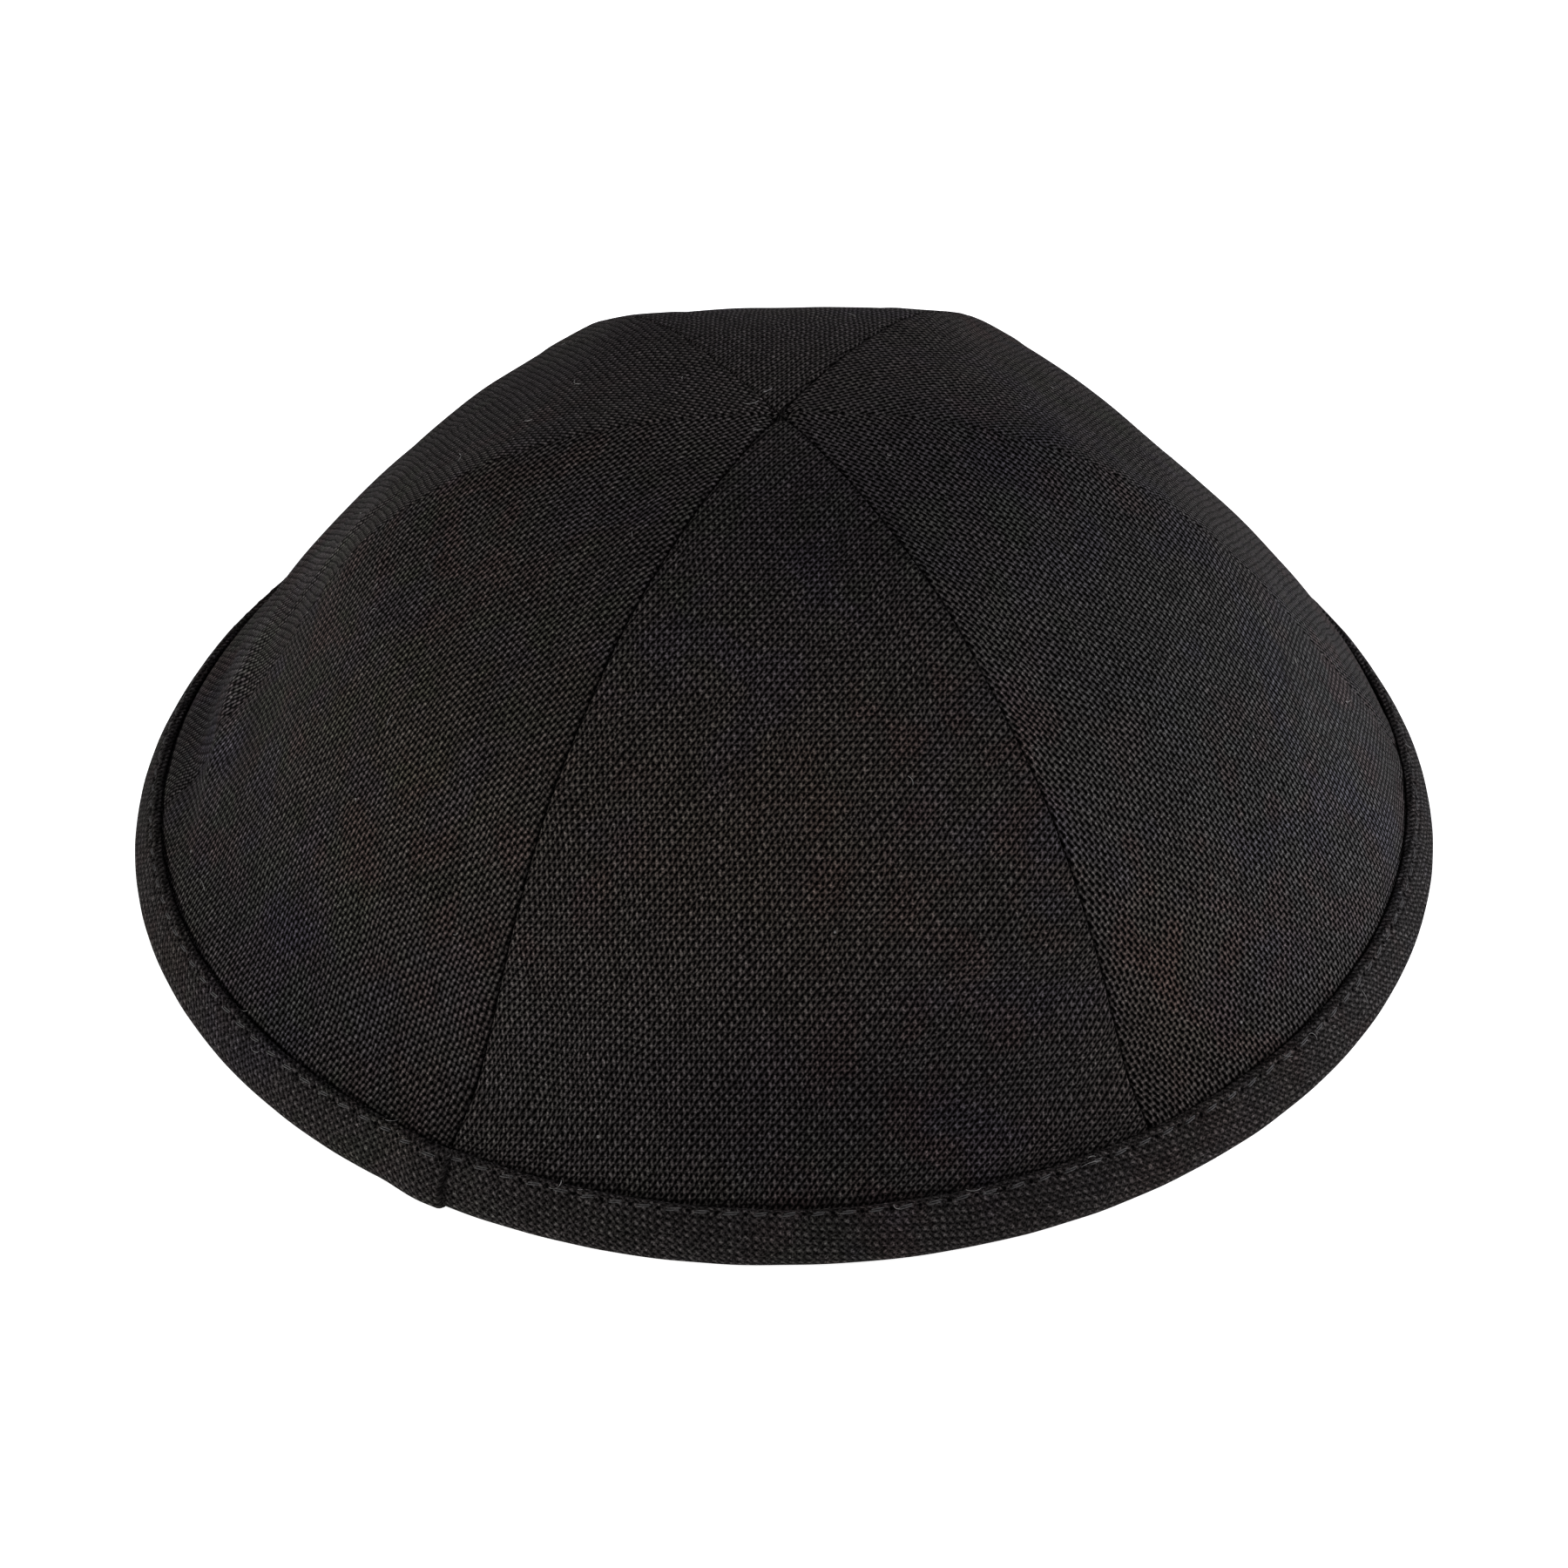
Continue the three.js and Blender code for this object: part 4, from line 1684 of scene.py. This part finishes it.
@dataclass
class StrayFibres:
    """Short pale fibres that cling to the cloth. Pairs are the least and the most of a random value."""

    count: int = 34
    rim_count: int = 26
    sides: int = 3
    rings: int = 8
    radius: float = 0.030
    lengths: tuple[float, float] = (0.4, 2.3)
    curls: tuple[float, float] = (0.3, 2.4)
    lift: float = 0.25
    clear: float = 0.04
    crown_clear: float = 0.15
    rim_azimuths: tuple[float, float] = (245.0, 595.0)
    rim_runs: tuple[float, float] = (0.4, 3.0)
    levels: tuple[float, float] = (0.05, 0.88)
    spans: tuple[float, float] = (0.05, 0.95)
    seed: int = 31

    def strand(self, bm: bmesh.types.BMesh, chance: random.Random, place: Vector, away: Vector) -> None:
        """Adds one curled fibre.

        Args:
            bm: The mesh to add to.
            chance: The source of its random values.
            place: Where it lies.
            away: The direction away from the cloth.
        """
        length = chance.uniform(*self.lengths)
        curl = chance.choice((-1.0, 1.0)) * chance.uniform(*self.curls)
        lift = chance.uniform(0.0, self.lift) * length
        bend = length / curl

        def curve(share: float, side: float, high: float) -> Place:
            """Curls the fibre.

            Args:
                share: Place along it, from 0 to 1.
                side: Direction across it, to its side.
                high: Direction across it, upwards.

            Returns:
                The point's place.
            """
            angle = curl * share
            reach = bend - self.radius * side
            up = self.radius * high + lift * share**2 + self.clear
            return reach * math.sin(angle), bend - reach * math.cos(angle), up

        verts = add_strand(bm, self.sides, self.rings, curve)
        around = Matrix.Rotation(chance.uniform(0.0, 2.0 * math.pi), 4, "Z")
        facing = away.to_track_quat("Z", "Y").to_matrix().to_4x4()
        bmesh.ops.transform(bm, matrix=Matrix.Translation(place) @ facing @ around, verts=verts)

    def build(self, form: CrownForm, binding: Binding, finish: bpy.types.Material) -> bpy.types.Object:
        """Scatters the fibres over the crown and along the stitching.

        Args:
            form: The crown's surface.
            binding: The rim binding.
            finish: The fibres' material.

        Returns:
            The fibres as one piece.
        """
        chance = random.Random(self.seed)
        bm = bmesh.new()
        azimuths = [chance.uniform(*self.rim_azimuths) for _ in range(self.rim_count)]
        runs = [chance.uniform(*self.rim_runs) for _ in azimuths]
        for place, _, away in binding.frames(azimuths, runs):
            self.strand(bm, chance, place, away)
        for _ in range(self.count):
            panel = chance.randrange(len(PANELS))
            t = np.array([chance.uniform(*self.levels)])
            angle = np.array([[chance.uniform(*self.spans) * form.span(panel, t)[0]]])
            away = Vector(form.normals(panel, t, angle)[0, 0])
            place = Vector(form.points(panel, t, angle)[0, 0]) + away * self.crown_clear
            self.strand(bm, chance, place, away)
        return strands_from(bm, "stray_fibres", finish)


@dataclass(frozen=True)
class Softbox:
    """A square softbox: where it hangs and how wide it is, in metres, its power in watts and its colour."""

    name: str
    place: Place
    width: float
    power: float
    colour: Place


SOFTBOXES = (
    Softbox("right_side", place=(1.339, 0.0, 0.409), width=0.7, power=22.5, colour=(1.0, 0.985, 1.03)),
    Softbox("left_side", place=(-1.339, -0.25, 0.409), width=0.7, power=18.5, colour=(1.0, 0.985, 0.96)),
    Softbox("front_right", place=(0.61, -0.61, 1.10), width=0.9, power=3.2, colour=(1.0, 0.985, 0.97)),
    Softbox("overhead", place=(0.0, 0.0, 1.4), width=1.0, power=3.4, colour=(0.99, 0.97, 1.10)),
)


@dataclass
class Studio:
    """The pale floor, the soft lights and the camera.

    The camera's distance and aim are in millimetres, and the other lengths in metres.
    """

    distance: float = 456.5
    elevation: float = 38.38
    azimuth: float = -1.318
    roll: float = -0.544
    lens: float = 81.27
    sensor: float = 36.0
    aim: Place = (0.064, 0.0, 3.63)
    floor_half: float = 6.0
    floor_drop: float = 0.0001
    floor_colour: Place = (0.86, 0.86, 0.86)
    floor_glow: float = 0.9
    sky: float = 0.02
    lit: Place = (0.0, 0.0, 0.03)

    def build(self) -> None:
        """Sets up the floor, the world, the lights and the camera."""
        self.floor()
        self.world()
        for box in SOFTBOXES:
            self.light(box)
        self.camera()
        bpy.context.scene.view_settings.view_transform = "Standard"

    def floor(self) -> None:
        """Lays the floor under the cap."""
        bm = bmesh.new()
        bmesh.ops.create_grid(bm, x_segments=1, y_segments=1, size=self.floor_half)
        bmesh.ops.translate(bm, vec=(0.0, 0.0, -self.floor_drop), verts=bm.verts[:])
        mesh = bpy.data.meshes.new("floor")
        bm.to_mesh(mesh)
        bm.free()
        material = bpy.data.materials.new("pale_floor")
        material.use_nodes = True
        settings = {
            "Base Color": (*self.floor_colour, 1.0),
            "Roughness": 1.0,
            "Specular IOR Level": 0.0,
            "Emission Color": WHITE,
            "Emission Strength": self.floor_glow,
        }
        for name, value in settings.items():
            material.node_tree.nodes["Principled BSDF"].inputs[name].default_value = value
        mesh.materials.append(material)
        floor = bpy.data.objects.new("floor", mesh)
        bpy.context.scene.collection.objects.link(floor)

    def world(self) -> None:
        """Fills the room with even light."""
        world = bpy.data.worlds.new("room")
        world.use_nodes = True
        sky = world.node_tree.nodes["Background"]
        sky.inputs["Color"].default_value = WHITE
        sky.inputs["Strength"].default_value = self.sky
        bpy.context.scene.world = world

    def light(self, box: Softbox) -> None:
        """Hangs one softbox, turned towards the cap.

        Args:
            box: The softbox.
        """
        data = bpy.data.lights.new(box.name, "AREA")
        data.size = box.width
        data.energy = box.power
        data.color = box.colour
        lamp = bpy.data.objects.new(box.name, data)
        lamp.location = box.place
        ahead = Vector(self.lit) - Vector(box.place)
        lamp.rotation_euler = ahead.to_track_quat("-Z", "Y").to_euler()
        bpy.context.scene.collection.objects.link(lamp)

    def camera(self) -> None:
        """Places the camera at the photograph's angle."""
        data = bpy.data.cameras.new("camera")
        data.lens = self.lens
        data.sensor_width = self.sensor
        camera = bpy.data.objects.new("camera", data)
        bpy.context.scene.collection.objects.link(camera)
        tilt = math.radians(self.elevation)
        turn = Matrix.Rotation(math.radians(self.azimuth), 3, "Z")
        back = Vector((0.0, -math.cos(tilt), math.sin(tilt)))
        roll = Matrix.Rotation(math.radians(self.roll), 3, "Z")
        upright = Euler((math.pi / 2 - tilt, 0.0, 0.0)).to_matrix() @ roll
        camera.matrix_world = (turn @ upright).to_4x4()
        camera.location = turn @ (Vector(self.aim) + back * self.distance) * MM
        bpy.context.scene.camera = camera


CROWN_CLOTH = ClothFinish(
    name="black_linen",
    colour=(0.0171, 0.0155, 0.0149),
    warm=(0.0221, 0.0147, 0.0140),
    cool=(0.0150, 0.0165, 0.0126),
    violet=(0.0168, 0.0150, 0.0182),
)
BINDING_CLOTH = ClothFinish(
    name="black_linen_on_the_bias",
    colour=(0.0173, 0.0157, 0.0152),
    warm=(0.0212, 0.0152, 0.0145),
    cool=(0.0154, 0.0165, 0.0135),
    violet=(0.0168, 0.0154, 0.0179),
    turn=45.0,
)
THREAD = ThreadFinish(
    name="black_thread",
    colour=(0.010, 0.0095, 0.0095),
    pale=(0.040, 0.038, 0.038),
    grain=2500.0,
    sheen=0.02,
)
LINT = ThreadFinish(
    name="pale_lint",
    colour=(0.15, 0.146, 0.142),
    pale=(0.36, 0.355, 0.35),
    grain=900.0,
    sheen=0.05,
)


def main() -> None:
    """Builds the cap's pieces and the studio round them."""
    logging.basicConfig(level=logging.INFO, format="%(name)s: %(message)s")
    shared = (dye_group(), painted_tone_group(), LintSpecks().group())
    # Three lit and shaded copies of the crown's cloth: each paints the light on the weave as the front, the
    # left or the right panels catch it
    front = CROWN_CLOTH.material(Weave().group(), *shared)
    left = CROWN_CLOTH.material(Weave(LEFT_PAINTED_WAVES).group(), *shared)
    right = CROWN_CLOTH.material(Weave(RIGHT_PAINTED_WAVES).group(), *shared)
    form = CrownForm()
    binding = Binding()
    Studio().build()
    # painted shade in the needle holes along the stitch line
    hole_shade = NeedleHoleShade(pitch=binding.pitch(), line=binding.stitch_line).group()
    # painted light and shade on the binding's weave
    bias = Weave(BIAS_PAINTED_WAVES, strength=0.74, speckle=5.0, wobble=0.5, slub_light=1.5)
    binding.build(BINDING_CLOTH.material(bias.group(), *shared, hole_shade))
    Crown().build((right, front, left, left, front, right), form)
    Topstitch().build(binding, THREAD.material())
    StrayFibres().build(form, binding, LINT.material())


if __name__ == "__main__":
    main()
